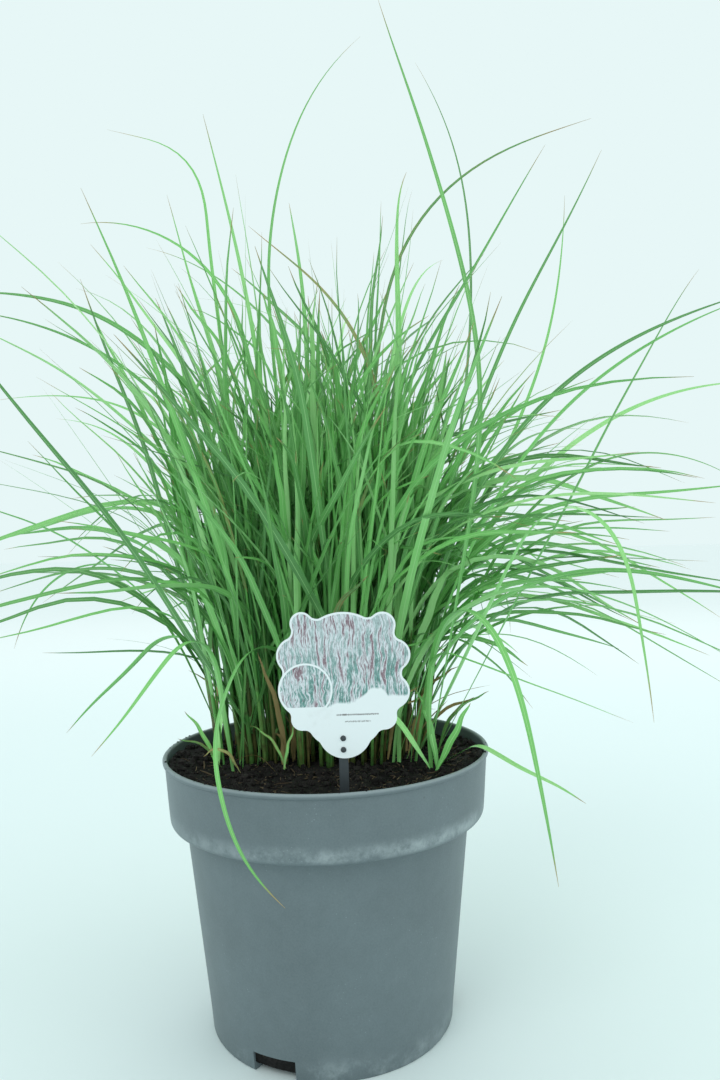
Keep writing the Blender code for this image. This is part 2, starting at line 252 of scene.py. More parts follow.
# The main blades, as in the CAD model: root x and y (mm), compass direction of its lean
# (degrees), lean from upright at the root and past the bend (degrees), length (mm), where the
# bend is centred and how much of the length it takes (shares), half width (mm), and how far
# the lean's direction turns by the tip (degrees). The last number here is how dry it is (0-1).
MAIN_BLADES = (
    (72, -12, 166, -11, 16, 555, 0.51, 0.5, 2.6, 0, 0.05),
    (-16, 15, 11, -3, 73, 555, 0.92, 0.8, 2.2, 0, 0.0),
    (-48, 40, 163, 5, 69, 540, 0.85, 0.2, 2.0, 0, 0.2),
    (-36, 12, 178, 2, 165, 470, 0.95, 0.9, 2.6, 0, 0.1),
    (-49, 10, 159, 8, 39, 430, 0.65, 0.3, 2.2, 0, 0.05),
    (-20, 22, 215, 5, 14, 465, 0.66, 0.4, 2.4, 0, 0.0),
    (-50, 0, 181, -5, 142, 465, 0.82, 1.5, 3.2, 0, 0.05),
    (-29, 45, 194, 12, 136, 435, 0.89, 1.3, 2.2, 0, 0.1),
    (-60, 25, 138, -4, 86, 420, 0.48, 1.4, 2.2, 0, 0.1),
    (-63, 0, 155, -6, 91, 445, 0.53, 0.9, 1.8, 0, 0.15),
    (31, 18, 156, -5, 47, 445, 0.66, 0.5, 2.6, 0, 0.45),
    (52, -4, 44, 2, 165, 430, 1.09, 0.4, 3.8, 0, 0.0),
    (16, 20, -28, 9, 36, 455, 0.56, 0.4, 2.4, 0, 0.0),
    (6, 32, -16, 8, 78, 540, 0.76, 0.4, 1.8, 0, 0.35),
    (24, 29, -36, 23, 32, 445, 0.65, 0.4, 2.0, 0, 0.0),
    (26, 45, 36, 36, -29, 555, 0.99, 1.2, 2.0, 0, 0.05),
    (75, -6, -4, 29, 69, 395, 1.1, 0.6, 2.2, 0, 0.1),
    (42, 18, -19, 19, 81, 435, 0.67, 0.9, 2.8, 0, 0.0),
    (52, 6, -6, 19, 87, 430, 0.74, 1.2, 2.8, 0, 0.0),
    (49, 50, 16, 15, 97, 500, 0.57, 1.5, 3.0, 0, 0.05),
    (58, 4, 5, 25, 167, 400, 0.8, 1.1, 1.8, 0, 0.1),
    (66, 11, 5, -2, 87, 390, 0.38, 0.8, 2.6, 0, 0.05),
    (60, -8, -7, -5, 107, 315, 0.38, 1.2, 2.8, 0, 0.0),
    (48, -4, -49, -4, 116, 335, 0.38, 1.2, 2.8, 0, 0.1),
    (68, 20, -60, 37, 172, 385, 0.66, 0.4, 2.4, 0, 0.15),
    (73, -23, -73, -4, 160, 330, 0.42, 0.8, 2.8, 0, 0.05),
    (81, -12, -55, 60, 101, 135, 0.31, 0.2, 2.4, 0, 0.15),
    (-60, -8, 165, -4, 104, 305, 0.43, 0.9, 2.4, 0, 0.05),
    (-68, 20, 153, -8, 101, 405, 0.42, 0.7, 2.4, 0, 0.1),
    (-55, 50, 151, 30, 168, 370, 0.66, 1.1, 2.2, 0, 0.15),
    (-66, -14, 250, 14, 117, 235, 0.45, 0.4, 2.4, 0, 0.1),
    (-75, 4, 155, 6, 130, 245, 0.4, 0.4, 2.4, 0, 0.1),
    (-15, 13, -133, 3, 129, 318, 0.3, 0.45, 2.6, 109, 0.1),
    (8, 68, 84, 8, 88, 480, 0.75, 0.9, 2.6, 0, 0.0),
    (-22, 66, 112, 6, 96, 470, 0.7, 0.9, 2.4, 0, 0.05),
    (34, 66, 62, 9, 80, 500, 0.8, 0.8, 2.6, 0, 0.05),
    (-6, 50, 98, 2, 60, 520, 0.75, 0.9, 2.4, 0, 0.1),
    (-14, 26, -105, 4, 84, 330, 0.7, 0.9, 2.2, 0, 0.05),
    (20, 25, -74, 6, 80, 340, 0.7, 0.9, 2.2, 0, 0.05),
    (70, 32, 40, 12, 92, 400, 0.6, 0.9, 2.4, 0, 0.05),
)

# Further single blades, in the same columns.
SIDE_BLADES = (
    (72, 28, 178, -8, 73, 525, 1.03, 1.1, 2.2, 0, 0.0),
    (-35, 30, 164, 2, 16, 440, 0.37, 0.9, 2.0, 0, 0.05),
    (-49, 6, 182, -4, 62, 410, 0.46, 1.1, 2.0, 0, 0.1),
    (9, 25, 157, -9, 96, 480, 0.74, 1.4, 2.2, 0, 0.1),
    (64, -3, -67, 19, 94, 280, 0.31, 0.2, 2.2, 0, 0.1),
)

# Young side shoots close to the soil, in the same columns.
SHOOTS = (
    (-80, 2, 160, 22, 42, 46, 0.5, 0.8, 2.2, 0, 0.3),
    (-76, -2, 200, 30, 74, 40, 0.5, 0.8, 2.0, 0, 0.35),
    (-79, 4, 80, 8, 30, 52, 0.5, 0.9, 2.4, 0, 0.25),
    (-46, 20, 28, 42, 48, 56, 0.5, 0.8, 3.4, 0, 0.05),
    (-45, 17, 150, 30, 88, 74, 0.6, 0.8, 1.8, 0, 0.3),
    (-29, -12, 150, 24, 70, 44, 0.5, 0.8, 1.4, 0, 0.4),
    (-30, -14, 60, 18, 40, 34, 0.5, 0.8, 1.3, 0, 0.35),
    (-36, -18, 200, 40, 112, 40, 0.5, 0.6, 1.2, 0, 0.7),
    (-60, -19, 175, 30, 120, 36, 0.6, 0.6, 1.4, 0, 0.55),
    (76, -29, 20, 32, 30, 52, 0.5, 0.8, 3.0, 0, 0.15),
    (77, -26, 120, 14, 40, 60, 0.6, 0.8, 2.6, 0, 0.2),
    (72, -24, 160, 34, 52, 74, 0.6, 0.8, 3.0, 0, 0.1),
    (44, 28, 70, 12, 66, 62, 0.5, 0.8, 2.2, 0, 0.3),
    (82, 14, 10, 16, 70, 64, 0.5, 0.8, 2.4, 0, 0.3),
    (-30, 84, 110, 12, 66, 70, 0.5, 0.8, 2.6, 0, 0.25),
    (40, 80, 60, 14, 60, 62, 0.5, 0.8, 2.4, 0, 0.3),
)

# Count of dry sheaths at the foot of the clump.
OLD_SHEATHS = 70

# Where scattered leaves may not go, in metres: in front of the label and the pot, as half
# widths either side of the label and heights, and through the rim, as radii and a height.
LABEL_CLEAR_WIDTH = 0.046
LABEL_CLEAR_HEIGHT = 0.315
FRONT_CLEAR_WIDTH = 0.15
FRONT_CLEAR_HEIGHT = 0.335
RIM_CLEAR_RADII = (0.106, 0.121)
RIM_CLEAR_HEIGHT = 0.193
# Leaves that pass the model's box are shortened to this share of their length, at most so many
# times. Their lines are tested in so many steps.
ROOM_SHORTENING = 0.88
ROOM_TRIES = 12
ROOM_STEPS = 14
LENGTH_COLUMN = 5

# The camera: its place (metres), its focal length and sensor (millimetres) and its turns
# (degrees).
CAMERA_PLACE = (0.016, -0.613, 0.344)
CAMERA_LENS = 28.4
CAMERA_SENSOR = 36.0
CAMERA_YAW = 1.129
CAMERA_DOWN = 0.630
CAMERA_ROLL = -1.553

# The soft lamps: name, place, height aimed at, size (metres) and share of the lamp power.
LAMPS = (
    ("key_lamp", (-1.1, -1.6, 2.2), 0.25, 1.4, 1.0),
    ("fill_lamp", (1.8, -0.6, 1.2), 0.30, 1.4, 0.45),
    ("back_lamp", (0.3, 1.7, 1.9), 0.35, 1.6, 0.7),
)
# Half width of the floor, and the lines of its grid each way.
FLOOR_REACH = 12.0
FLOOR_LINES = 5


# ------------------------------------------------------------------ meshes


def new_mesh_object(name, vertices, faces, uv=None, values=None, sharp_angle=None):
    """Make one piece from whole arrays.

    faces is a list of index arrays, one row per face; uv is one (u, v) per vertex; values
    holds named numbers, one per vertex.
    """
    mesh = bpy.data.meshes.new(name)
    corners = np.concatenate([np.asarray(block).ravel() for block in faces]).astype(np.int32)
    sizes = np.concatenate([np.full(len(block), np.shape(block)[1]) for block in faces])
    starts = np.concatenate([[0], np.cumsum(sizes)[:-1]]).astype(np.int32)
    mesh.vertices.add(len(vertices))
    mesh.vertices.foreach_set("co", np.asarray(vertices, np.float32).ravel())
    mesh.loops.add(len(corners))
    mesh.loops.foreach_set("vertex_index", corners)
    mesh.polygons.add(len(sizes))
    mesh.polygons.foreach_set("loop_start", starts)
    mesh.update(calc_edges=True)
    if uv is not None:
        layer = mesh.uv_layers.new(name="shape")
        layer.uv.foreach_set("vector", np.asarray(uv, np.float32)[corners].ravel())
    for label, numbers in (values or {}).items():
        attribute = mesh.attributes.new(label, "FLOAT", "POINT")
        attribute.data.foreach_set("value", np.asarray(numbers, np.float32).ravel())
    mesh.polygons.foreach_set("use_smooth", np.ones(len(sizes), bool))
    if sharp_angle is not None:
        mesh.set_sharp_from_angle(angle=math.radians(sharp_angle))
    mesh.validate()
    return link_object(name, mesh)


def link_object(name, data):
    """Put an object with the given data into the scene."""
    obj = bpy.data.objects.new(name, data)
    bpy.context.scene.collection.objects.link(obj)
    return obj


def finish_piece(obj, material, replaced=()):
    """Give a piece its material and its body, and hide the CAD nodes that it stands for."""
    obj.data.materials.append(material)
    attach(obj, "root")
    if replaced:
        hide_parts(*replaced)
    return obj


def join_arrays(parts):
    """Put several (vertices, faces, uv, values) shapes into one, moving the face numbers on."""
    vertices, faces, uv, values, start = [], [], [], {}, 0
    for points, blocks, place, numbers in parts:
        vertices.append(points)
        faces += [np.asarray(block) + start for block in blocks]
        uv.append(place)
        for label, column in numbers.items():
            values.setdefault(label, []).append(column)
        start += len(points)
    values = {label: np.concatenate(columns) for label, columns in values.items()}
    return np.concatenate(vertices), faces, np.concatenate(uv), values


def directions(angles):
    """Unit steps (cos, sin) at the given angles."""
    return np.stack([np.cos(angles), np.sin(angles)], -1)


def turned_grid(profile, angles):
    """Points of a profile turned round the vertical axis.

    Point (i, j) is (radius_i cos angle_j, radius_i sin angle_j, height_i).
    """
    radius = profile[:, 0, None]
    height = np.broadcast_to(profile[:, 1, None], (len(profile), len(angles)))
    return np.stack([radius * np.cos(angles), radius * np.sin(angles), height], -1)


def grid_quads(rows, columns, wrap_columns=True):
    """Corner numbers of the cells of a grid, as an array of rows by columns by 4."""
    first = np.arange(rows - 1)[:, None] * columns
    j = np.arange(columns if wrap_columns else columns - 1)[None, :]
    j_next = (j + 1) % columns
    cells = [first + j, first + j_next, first + columns + j_next, first + columns + j]
    return np.stack(np.broadcast_arrays(*cells), -1)


def fan(middle, ring, turned=False):
    """Triangles from one middle vertex to every step of a closed ring of vertices."""
    ends = (np.roll(ring, -1), ring) if turned else (ring, np.roll(ring, -1))
    return np.stack([np.full(len(ring), middle), *ends], -1)


def capped_faces(rows, columns):
    """Faces of a turned grid that two last vertices close: one in its first row, one in its
    last."""
    ring = np.arange(columns)
    middle = rows * columns
    caps = [fan(middle, ring), fan(middle + 1, ring + (rows - 1) * columns, turned=True)]
    return [grid_quads(rows, columns)[..., ::-1].reshape(-1, 4)] + caps


def refine(points, longest):
    """Add points along a profile so that no step is longer than the given length."""
    steps = np.maximum(1, np.ceil(np.linalg.norm(np.diff(points, axis=0), axis=1) / longest))
    place = np.concatenate([[0.0]] + [i + np.arange(1, n + 1) / n for i, n in enumerate(steps)])
    whole = np.arange(len(points))
    return np.stack([np.interp(place, whole, points[:, k]) for k in range(points.shape[1])], -1)


def rounded(points, passes=2):
    """Round a profile's corners: each pass puts two points a quarter in from the ends of
    every step, and keeps the first and last point."""
    for _ in range(passes):
        near = 0.75 * points[:-1] + 0.25 * points[1:]
        far = 0.25 * points[:-1] + 0.75 * points[1:]
        cut = np.stack([near, far], 1).reshape(-1, points.shape[1])
        points = np.concatenate([points[:1], cut[1:-1], points[-1:]])
    return points


def lattice_noise(points, scale, seed):
    """Smooth noise from 0 to 1: random values on a square lattice, eased between its corners."""
    size = 256
    table = np.random.default_rng(seed).random((size, size))
    above_zero = 1000.0
    place = np.asarray(points) / scale + above_zero
    low = np.floor(place).astype(int)
    part = place - low
    part = part * part * (3.0 - 2.0 * part)
    x0, y0 = low[..., 0] % size, low[..., 1] % size
    x1, y1 = (x0 + 1) % size, (y0 + 1) % size
    near = table[x0, y0] * (1 - part[..., 0]) + table[x1, y0] * part[..., 0]
    far = table[x0, y1] * (1 - part[..., 0]) + table[x1, y1] * part[..., 0]
    return near * (1 - part[..., 1]) + far * part[..., 1]


# ------------------------------------------------------------------ blades and culms


def soil_starts(rows):
    """Places where blades leave the soil, from their root columns."""
    level = np.full(len(rows), SOIL_LEVEL + BLADE_ROOT_LIFT)
    return np.stack([rows[:, 0] * MM, rows[:, 1] * MM, level], -1)


def blade_paths(rows, steps, start=None):
    """Middle lines of many blades at once, in metres.

    Each is a run of equal straight steps. The lean from upright eases from its first value to
    its last across the bend, and the compass direction turns with the square of the share of
    the length. Returns points and directions of lean, both one more than the steps.
    """
    rows = np.asarray(rows, float)
    if start is None:
        start = soil_starts(rows)
    share = (np.arange(steps) + 0.5) / steps
    ease = np.clip((share - rows[:, 6, None]) / rows[:, 7, None] + 0.5, 0.0, 1.0)
    ease = ease * ease * (3.0 - 2.0 * ease)
    lean = np.radians(rows[:, 3, None] + (rows[:, 4] - rows[:, 3])[:, None] * ease)
    azimuth = np.radians(rows[:, 2, None] + rows[:, 9, None] * share * share)
    step = rows[:, 5, None] * MM / steps
    level = np.sin(lean)[..., None] * directions(azimuth)
    move = np.concatenate([level, np.cos(lean)[..., None]], -1)
    points = np.concatenate([np.zeros((len(rows), 1, 3)), np.cumsum(move * step[..., None], 1)], 1)
    ends = np.concatenate([azimuth[:, :1], azimuth], 1)
    return points + start[:, None], ends


def path_frames(points, azimuth, roll):
    """Side and upward directions along paths: the side is level and square to the lean, up is
    the direction of travel crossed with it, and both are turned by the roll."""
    travel = np.gradient(points, axis=1)
    travel /= np.linalg.norm(travel, axis=-1, keepdims=True)
    side = np.stack([-np.sin(azimuth), np.cos(azimuth), np.zeros_like(azimuth)], -1)
    side -= (side * travel).sum(-1, keepdims=True) * travel
    side /= np.linalg.norm(side, axis=-1, keepdims=True)
    up = np.cross(travel, side)
    cos, sin = np.cos(roll)[..., None], np.sin(roll)[..., None]
    return cos * side + sin * up, cos * up - sin * side


def sweep(points, side, up, width, section, values):
    """Carry a closed section along many paths at once.

    Vertex (blade, step, corner) is the path's point plus width times (corner x along the side
    plus corner y along up). u runs across the blade from edge to edge, v from root to tip.
    """
    count, rings = points.shape[:2]
    corners = len(section)
    offset = side[:, :, None] * section[:, 0, None] + up[:, :, None] * section[:, 1, None]
    vertices = points[:, :, None] + width[:, :, None, None] * offset
    quads = grid_quads(rings, corners).reshape(-1, 4)
    base = (np.arange(count) * rings * corners)[:, None, None]
    first = np.arange(corners)[::-1][None, None]
    last = (np.arange(corners) + (rings - 1) * corners)[None, None]
    u = np.broadcast_to((section[:, 0] + 1.0) / 2.0, (count, rings, corners))
    v = np.broadcast_to(np.linspace(0, 1, rings)[None, :, None], (count, rings, corners))
    spread = {k: np.broadcast_to(n[:, None, None], u.shape).ravel() for k, n in values.items()}
    faces = [(quads + base).reshape(-1, 4), (first + base).reshape(-1, corners)]
    faces.append((last + base).reshape(-1, corners))
    return vertices.reshape(-1, 3), faces, np.stack([u, v], -1).reshape(-1, 2), spread


FINE_SECTION = np.array(
    (
        (1.0, 0.24),
        (0.55, 0.12),
        (0.10, 0.06),
        (-0.10, 0.06),
        (-0.55, 0.12),
        (-1.0, 0.24),
        (-0.5, 0.06),
        (0.0, -0.10),
        (0.5, 0.06),
    )
)
PLAIN_SECTION = np.array(((1.0, 0.22), (0.0, 0.07), (-1.0, 0.22), (0.0, -0.06)))


def blade_width(share):
    """Half width along a blade, as a share of its widest: narrow root, long fine tip."""
    swell = np.minimum(1.0, 0.5 + 1.6 * share)
    return np.maximum(0.03, swell * (1.0 - share**2.4) ** 0.8)


def seen_width(side):
    """How much of each blade's width faces the front, as a share, averaged along it."""
    return np.hypot(side[..., 0], side[..., 2]).mean(1, keepdims=True)


def blade_surface(rows, steps, section, rng, roll_range, start=None, face_front=False):
    """The swept shape of many blades, with a gentle sideways wave.

    Each blade rolls about its own line, fast near its root and slower toward its tip. It rolls
    one way or the other at random or, with face_front, the way that shows more of its face;
    a blade that heads to the front already shows it, and hardly rolls.
    """
    rows = np.asarray(rows, float)
    points, azimuth = blade_paths(rows, steps, start)
    share = np.linspace(0.0, 1.0, steps + 1)
    roll_end = np.radians(rng.uniform(*roll_range, (len(rows), 1)))
    roll_end *= rng.choice((-1.0, 1.0), (len(rows), 1))
    growth = 1.0 - (1.0 - share) ** 2
    if face_front:
        roll_end *= np.cos(azimuth[:, -1:]) ** 2
        one_way, _ = path_frames(points, azimuth, roll_end * growth)
        other_way, _ = path_frames(points, azimuth, -roll_end * growth)
        roll_end = np.where(seen_width(one_way) > seen_width(other_way), roll_end, -roll_end)
    side, up = path_frames(points, azimuth, roll_end * growth)
    phase = rng.uniform(0.0, 6.28, (len(rows), 1))
    waves = rng.uniform(1.5, 3.5, (len(rows), 1))
    swing = 0.0009 * share * np.sin(phase + waves * 6.28 * share)
    points = points + side * swing[..., None]
    width = rows[:, 8, None] * MM * blade_width(share)
    values = {"shade": rng.random(len(rows)), "dryness": rows[:, 10]}
    return sweep(points, side, up, width, section, values)


def culm_line(table, rise):
    """Points of straight culms at the given rises above the soil: each goes out from its root
    along its own direction by the rise times the tangent of its lean."""
    drift = np.maximum(0.0, rise - CULM_FOOT) * np.tan(table["lean"])[:, None]
    x = table["root"][:, 0, None] + drift * np.cos(table["angle"])[:, None]
    y = table["root"][:, 1, None] + drift * np.sin(table["angle"])[:, None]
    return np.stack([x, y, SOIL_LEVEL + CULM_LIFT + rise], -1)


def crown_size(settings):
    """Half width and half depth of the stand of culms at the soil."""
    return np.array((settings.crown_width, settings.crown_depth)) / 2.0


def culm_table(settings):
    """Root, direction, height and lean of every culm, and its share of the way to the crown's
    edge: first those of the CAD model, then the rest of the crown at random in an ellipse."""
    rng = np.random.default_rng(settings.seed)
    count = len(CULM_NODES)
    number = np.arange(count)
    edge = np.sqrt((number + 0.5) / count)
    angle = np.radians(CULM_PHASE + number * GOLDEN_ANGLE)
    height = np.array(CULM_HEIGHTS)[number % len(CULM_HEIGHTS)] * MM
    reach = np.broadcast_to(CROWN_REACH, (count, 2))
    more = settings.culm_count
    crown = np.broadcast_to(crown_size(settings), (more, 2))
    edge = np.concatenate([edge, np.sqrt(rng.random(more))])
    angle = np.concatenate([angle, rng.uniform(0.0, 2.0 * np.pi, more)])
    height = np.concatenate([height, 0.09 + 0.16 * rng.random(more) ** 1.2])
    root = CROWN_MIDDLE + np.concatenate([reach, crown]) * edge[:, None] * directions(angle)
    lean = np.radians(CULM_LEAN_AT_EDGE) * edge
    return {"root": root, "angle": angle, "height": height, "lean": lean, "edge": edge}


# ------------------------------------------------------------------ shader nodes


def add_node(tree, kind, inputs=None, **settings):
    """Place one shader node; an input is a plain value or another node's output."""
    node = tree.nodes.new(kind)
    for name, value in settings.items():
        setattr(node, name, value)
    for key, value in (inputs or {}).items():
        socket = node.inputs[key]
        if isinstance(value, bpy.types.NodeSocket):
            tree.links.new(value, socket)
        else:
            socket.default_value = value
    return node


def maths(tree, operation, first, second=0.0):
    """Place a Math node and return its output."""
    return add_node(tree, "ShaderNodeMath", {0: first, 1: second}, operation=operation).outputs[0]


def multiply(tree, first, second):
    """Place a Math node that multiplies, and return its output."""
    return maths(tree, "MULTIPLY", first, second)


def add(tree, first, second):
    """Place a Math node that adds, and return its output."""
    return maths(tree, "ADD", first, second)


def tint(colour, factor):
    """A colour made lighter or darker."""
    return [part * factor for part in colour]


def blend(tree, factor, first, second):
    """Place a colour Mix node and return its output."""
    node = add_node(tree, "ShaderNodeMix", data_type="RGBA")
    for socket, value in zip((node.inputs[0], node.inputs[6], node.inputs[7]), (factor, first, second)):
        if isinstance(value, bpy.types.NodeSocket):
            tree.links.new(value, socket)
        elif isinstance(value, float):
            socket.default_value = value
        else:
            socket.default_value = (*value[:3], 1.0)
    return node.outputs[2]


def remap(tree, value, low, high, out_low=0.0, out_high=1.0):
    """Place a smooth Map Range node and return its output."""
    inputs = {"Value": value, "From Min": low, "From Max": high, "To Min": out_low, "To Max": out_high}
    node = add_node(tree, "ShaderNodeMapRange", inputs, interpolation_type="SMOOTHSTEP")
    return node.outputs["Result"]


def noise(tree, vector, scale, detail=4.0, roughness=0.6):
    """Place a Noise Texture and return its value."""
    inputs = {"Vector": vector, "Scale": scale, "Detail": detail, "Roughness": roughness}
    return add_node(tree, "ShaderNodeTexNoise", inputs).outputs[0]


def height_of(tree, vector):
    """Place a Separate node and return the third number of a vector."""
    return add_node(tree, "ShaderNodeSeparateXYZ", {0: vector}).outputs[2]


def attribute(tree, name):
    """Place an Attribute node and return its number."""
    return add_node(tree, "ShaderNodeAttribute", attribute_name=name).outputs["Fac"]


def new_group(name, inputs, outputs):
    """Start a node group with named number sockets; return it with its two end nodes."""
    group = bpy.data.node_groups.new(name, "ShaderNodeTree")
    for label, value in inputs.items():
        kind = "NodeSocketVector" if value is None else "NodeSocketFloat"
        socket = group.interface.new_socket(label, in_out="INPUT", socket_type=kind)
        if value is not None:
            socket.default_value = value
    for label in outputs:
        group.interface.new_socket(label, in_out="OUTPUT", socket_type="NodeSocketFloat")
    return group, group.nodes.new("NodeGroupInput"), group.nodes.new("NodeGroupOutput")


def grain_group():
    """Fine moulded or earthy grain: coarse and fine noise added, from 0 to 1."""
    if "fine_grain" in bpy.data.node_groups:
        return bpy.data.node_groups["fine_grain"]
    inputs = {"Vector": None, "Scale": 800.0, "Coarse Share": 0.4}
    group, start, end = new_group("fine_grain", inputs, ["Grain"])
    vector, scale, share = (start.outputs[label] for label in inputs)
    fine = noise(group, vector, scale, 3.0)
    coarse = noise(group, vector, multiply(group, scale, 0.12), 4.0)
    rest = maths(group, "SUBTRACT", 1.0, share)
    total = add(group, multiply(group, coarse, share), multiply(group, fine, rest))
    group.links.new(total, end.inputs["Grain"])
    return group


def speckle_group():
    """Specks in patches: round spots, smaller for a lower Threshold, rarer for a higher
    Patchiness."""
    if "specks" in bpy.data.node_groups:
        return bpy.data.node_groups["specks"]
    inputs = {"Vector": None, "Scale": 300.0, "Threshold": 0.12, "Patchiness": 0.5}
    group, start, end = new_group("specks", inputs, ["Specks"])
    vector, scale = start.outputs["Vector"], start.outputs["Scale"]
    cells = add_node(group, "ShaderNodeTexVoronoi", {"Vector": vector, "Scale": scale})
    spot = maths(group, "LESS_THAN", cells.outputs["Distance"], start.outputs["Threshold"])
    patches = noise(group, vector, multiply(group, scale, 0.08), 3.0)
    low = start.outputs["Patchiness"]
    patches = remap(group, patches, low, add(group, low, 0.15))
    group.links.new(multiply(group, spot, patches), end.inputs["Specks"])
    return group


def blade_group():
    """Marks that follow a blade: pale midrib, fine lengthwise veins, dry tip."""
    if "blade_marks" in bpy.data.node_groups:
        return bpy.data.node_groups["blade_marks"]
    inputs = {"Rib Width": 0.12, "Vein Count": 9.0, "Tip Length": 0.12, "Dryness": 0.0}
    group, start, end = new_group("blade_marks", inputs, ["Rib", "Veins", "Dry"])
    place = add_node(group, "ShaderNodeUVMap", uv_map="shape")
    axes = add_node(group, "ShaderNodeSeparateXYZ", {0: place.outputs[0]})
    across, along = axes.outputs[0], axes.outputs[1]
    centred = maths(group, "SUBTRACT", across, 0.5)
    off_middle = multiply(group, maths(group, "ABSOLUTE", centred), 2.0)
    rib = remap(group, off_middle, 0.0, start.outputs["Rib Width"], 1.0, 0.0)
    wave = multiply(group, multiply(group, across, start.outputs["Vein Count"]), 6.2832)
    veins = add(group, multiply(group, maths(group, "SINE", wave), 0.5), 0.5)
    where = add_node(group, "ShaderNodeTexCoord").outputs["Object"]
    blotches = noise(group, where, 45.0, 5.0, 0.7)
    begin = maths(group, "SUBTRACT", 1.0, start.outputs["Tip Length"])
    tip = remap(group, along, begin, 1.02)
    edge_loss = multiply(group, off_middle, 0.25)
    dry_sum = add(group, multiply(group, start.outputs["Dryness"], 1.5), edge_loss)
    dry_sum = add(group, dry_sum, multiply(group, tip, 1.2))
    dry = remap(group, add(group, dry_sum, blotches), 1.0, 1.6)
    group.links.new(rib, end.inputs["Rib"])
    group.links.new(veins, end.inputs["Veins"])
    group.links.new(dry, end.inputs["Dry"])
    return group


def use_group(tree, group, inputs):
    """Place a node group in a material."""
    return add_node(tree, "ShaderNodeGroup", inputs, node_tree=group)


def grain(tree, vector, scale, coarse_share):
    """Place the grain group and return its value."""
    inputs = {"Vector": vector, "Scale": scale, "Coarse Share": coarse_share}
    return use_group(tree, grain_group(), inputs).outputs[0]


def specks(tree, vector, scale, threshold, patchiness):
    """Place the group of specks and return its value."""
    inputs = {"Vector": vector, "Scale": scale, "Threshold": threshold, "Patchiness": patchiness}
    return use_group(tree, speckle_group(), inputs).outputs[0]


def new_material(name, roughness, specular=0.5):
    """Start a material; return it with its tree, its shader and its object coordinates."""
    material = bpy.data.materials.new(name)
    material.use_nodes = True
    tree = material.node_tree
    shader = tree.nodes["Principled BSDF"]
    shader.inputs["Roughness"].default_value = roughness
    shader.inputs["Specular IOR Level"].default_value = specular
    where = add_node(tree, "ShaderNodeTexCoord").outputs["Object"]
    return material, tree, shader, where


def paint(tree, shader, colour, height, distance, strength=1.0):
    """Feed a colour into the shader, and a height into its normal."""
    tree.links.new(colour, shader.inputs["Base Color"])
    inputs = {"Height": height, "Distance": distance, "Strength": strength}
    bump = add_node(tree, "ShaderNodeBump", inputs)
    tree.links.new(bump.outputs[0], shader.inputs["Normal"])


def pot_material(settings):
    """Matt grey-blue moulded plastic, dusty along the collar's lower edge, with a painted highlight and some
    wear along the top of the lip.
    """
    material, tree, shader, where = new_material("grey_blue_pot_plastic", 0.5, 0.4)
    axes = add_node(tree, "ShaderNodeSeparateXYZ", {0: where})
    height = axes.outputs[2]
    wide = noise(tree, where, 14.0, 4.0)
    plastic = settings.plastic_colour
    mottle = remap(tree, wide, 0.3, 0.7)
    colour = blend(tree, mottle, tint(plastic, 0.92), tint(plastic, 1.08))
    texture = grain(tree, where, 900.0, 0.35)
    colour = blend(tree, multiply(tree, texture, 0.22), colour, settings.dust_and_highlight_colour)
    edge = STEP_HEIGHT * MM
    up_from_edge = remap(tree, height, edge + 0.0005, edge + 0.0045)
    fade = remap(tree, height, edge + 0.006, edge + 0.015, 1.0, 0.0)
    band = multiply(tree, up_from_edge, fade)
    patches = noise(tree, where, 38.0, 6.0, 0.75)
    along = remap(tree, axes.outputs[0], -0.10, 0.06, 0.55, 1.0)
    band = multiply(tree, band, remap(tree, patches, 0.36, 0.66))
    dust = multiply(tree, multiply(tree, band, along), 0.62)
    # Painted highlight along the top of the lip, where the rim catches the light, with some wear: the lip is
    # lightened toward the dust colour.
    lip = remap(tree, height, RIM_HEIGHT * MM - 0.0022, RIM_HEIGHT * MM - 0.0004)
    lip = multiply(tree, lip, 0.35)
    foot = remap(tree, height, 0.004, 0.02, 1.0, 0.0)
    foot = multiply(tree, foot, remap(tree, patches, 0.45, 0.75, 0.0, 0.5))
    # One mask for the real dust on the collar and the foot and the painted highlight on the lip.
    dust_and_highlight_mask = maths(tree, "MAXIMUM", maths(tree, "MAXIMUM", dust, lip), foot)
    colour = blend(tree, dust_and_highlight_mask, colour, settings.dust_and_highlight_colour)
    spots = specks(tree, where, 330.0, 0.13, 0.52)
    colour = blend(tree, multiply(tree, spots, 0.2), colour, settings.dust_and_highlight_colour)
    crumbs = specks(tree, where, 170.0, 0.13, 0.56)
    near_rim = remap(tree, height, 0.150, 0.186)
    dark = multiply(tree, crumbs, multiply(tree, near_rim, 0.8))
    colour = blend(tree, dark, colour, (0.02, 0.015, 0.012))
    tree.links.new(remap(tree, dust_and_highlight_mask, 0.0, 0.6, 0.46, 0.75), shader.inputs["Roughness"])
    paint(tree, shader, colour, texture, 0.0002, 0.5)
    return material


def peat_material(name, settings, lift=1.0):
    """Dark damp peat with brown and grey crumbs in it."""
    material, tree, shader, where = new_material(name, 0.9, 0.25)
    texture = grain(tree, where, 520.0, 0.5)
    peat = settings.peat_colour
    dark = tint(peat, 0.35 * lift)
    colour = blend(tree, remap(tree, texture, 0.38, 0.62), dark, tint(peat, 1.5 * lift))
    spots = specks(tree, where, 340.0, 0.2, 0.45)
    colour = blend(tree, multiply(tree, spots, 0.5), colour, settings.fibre_colour)
    paint(tree, shader, colour, texture, 0.0012)
    return material


def fibre_material(settings):
    """Tan bits of bark and straw, lighter and darker along each."""
    material, tree, shader, where = new_material("peat_fibre", 0.85, 0.3)
    texture = grain(tree, where, 600.0, 0.4)
    tan = settings.fibre_colour
    own = blend(tree, attribute(tree, "shade"), tint(tan, 0.3), tan)
    colour = blend(tree, remap(tree, texture, 0.35, 0.65), own, tint(tan, 0.5))
    paint(tree, shader, colour, texture, 0.0004)
    return material


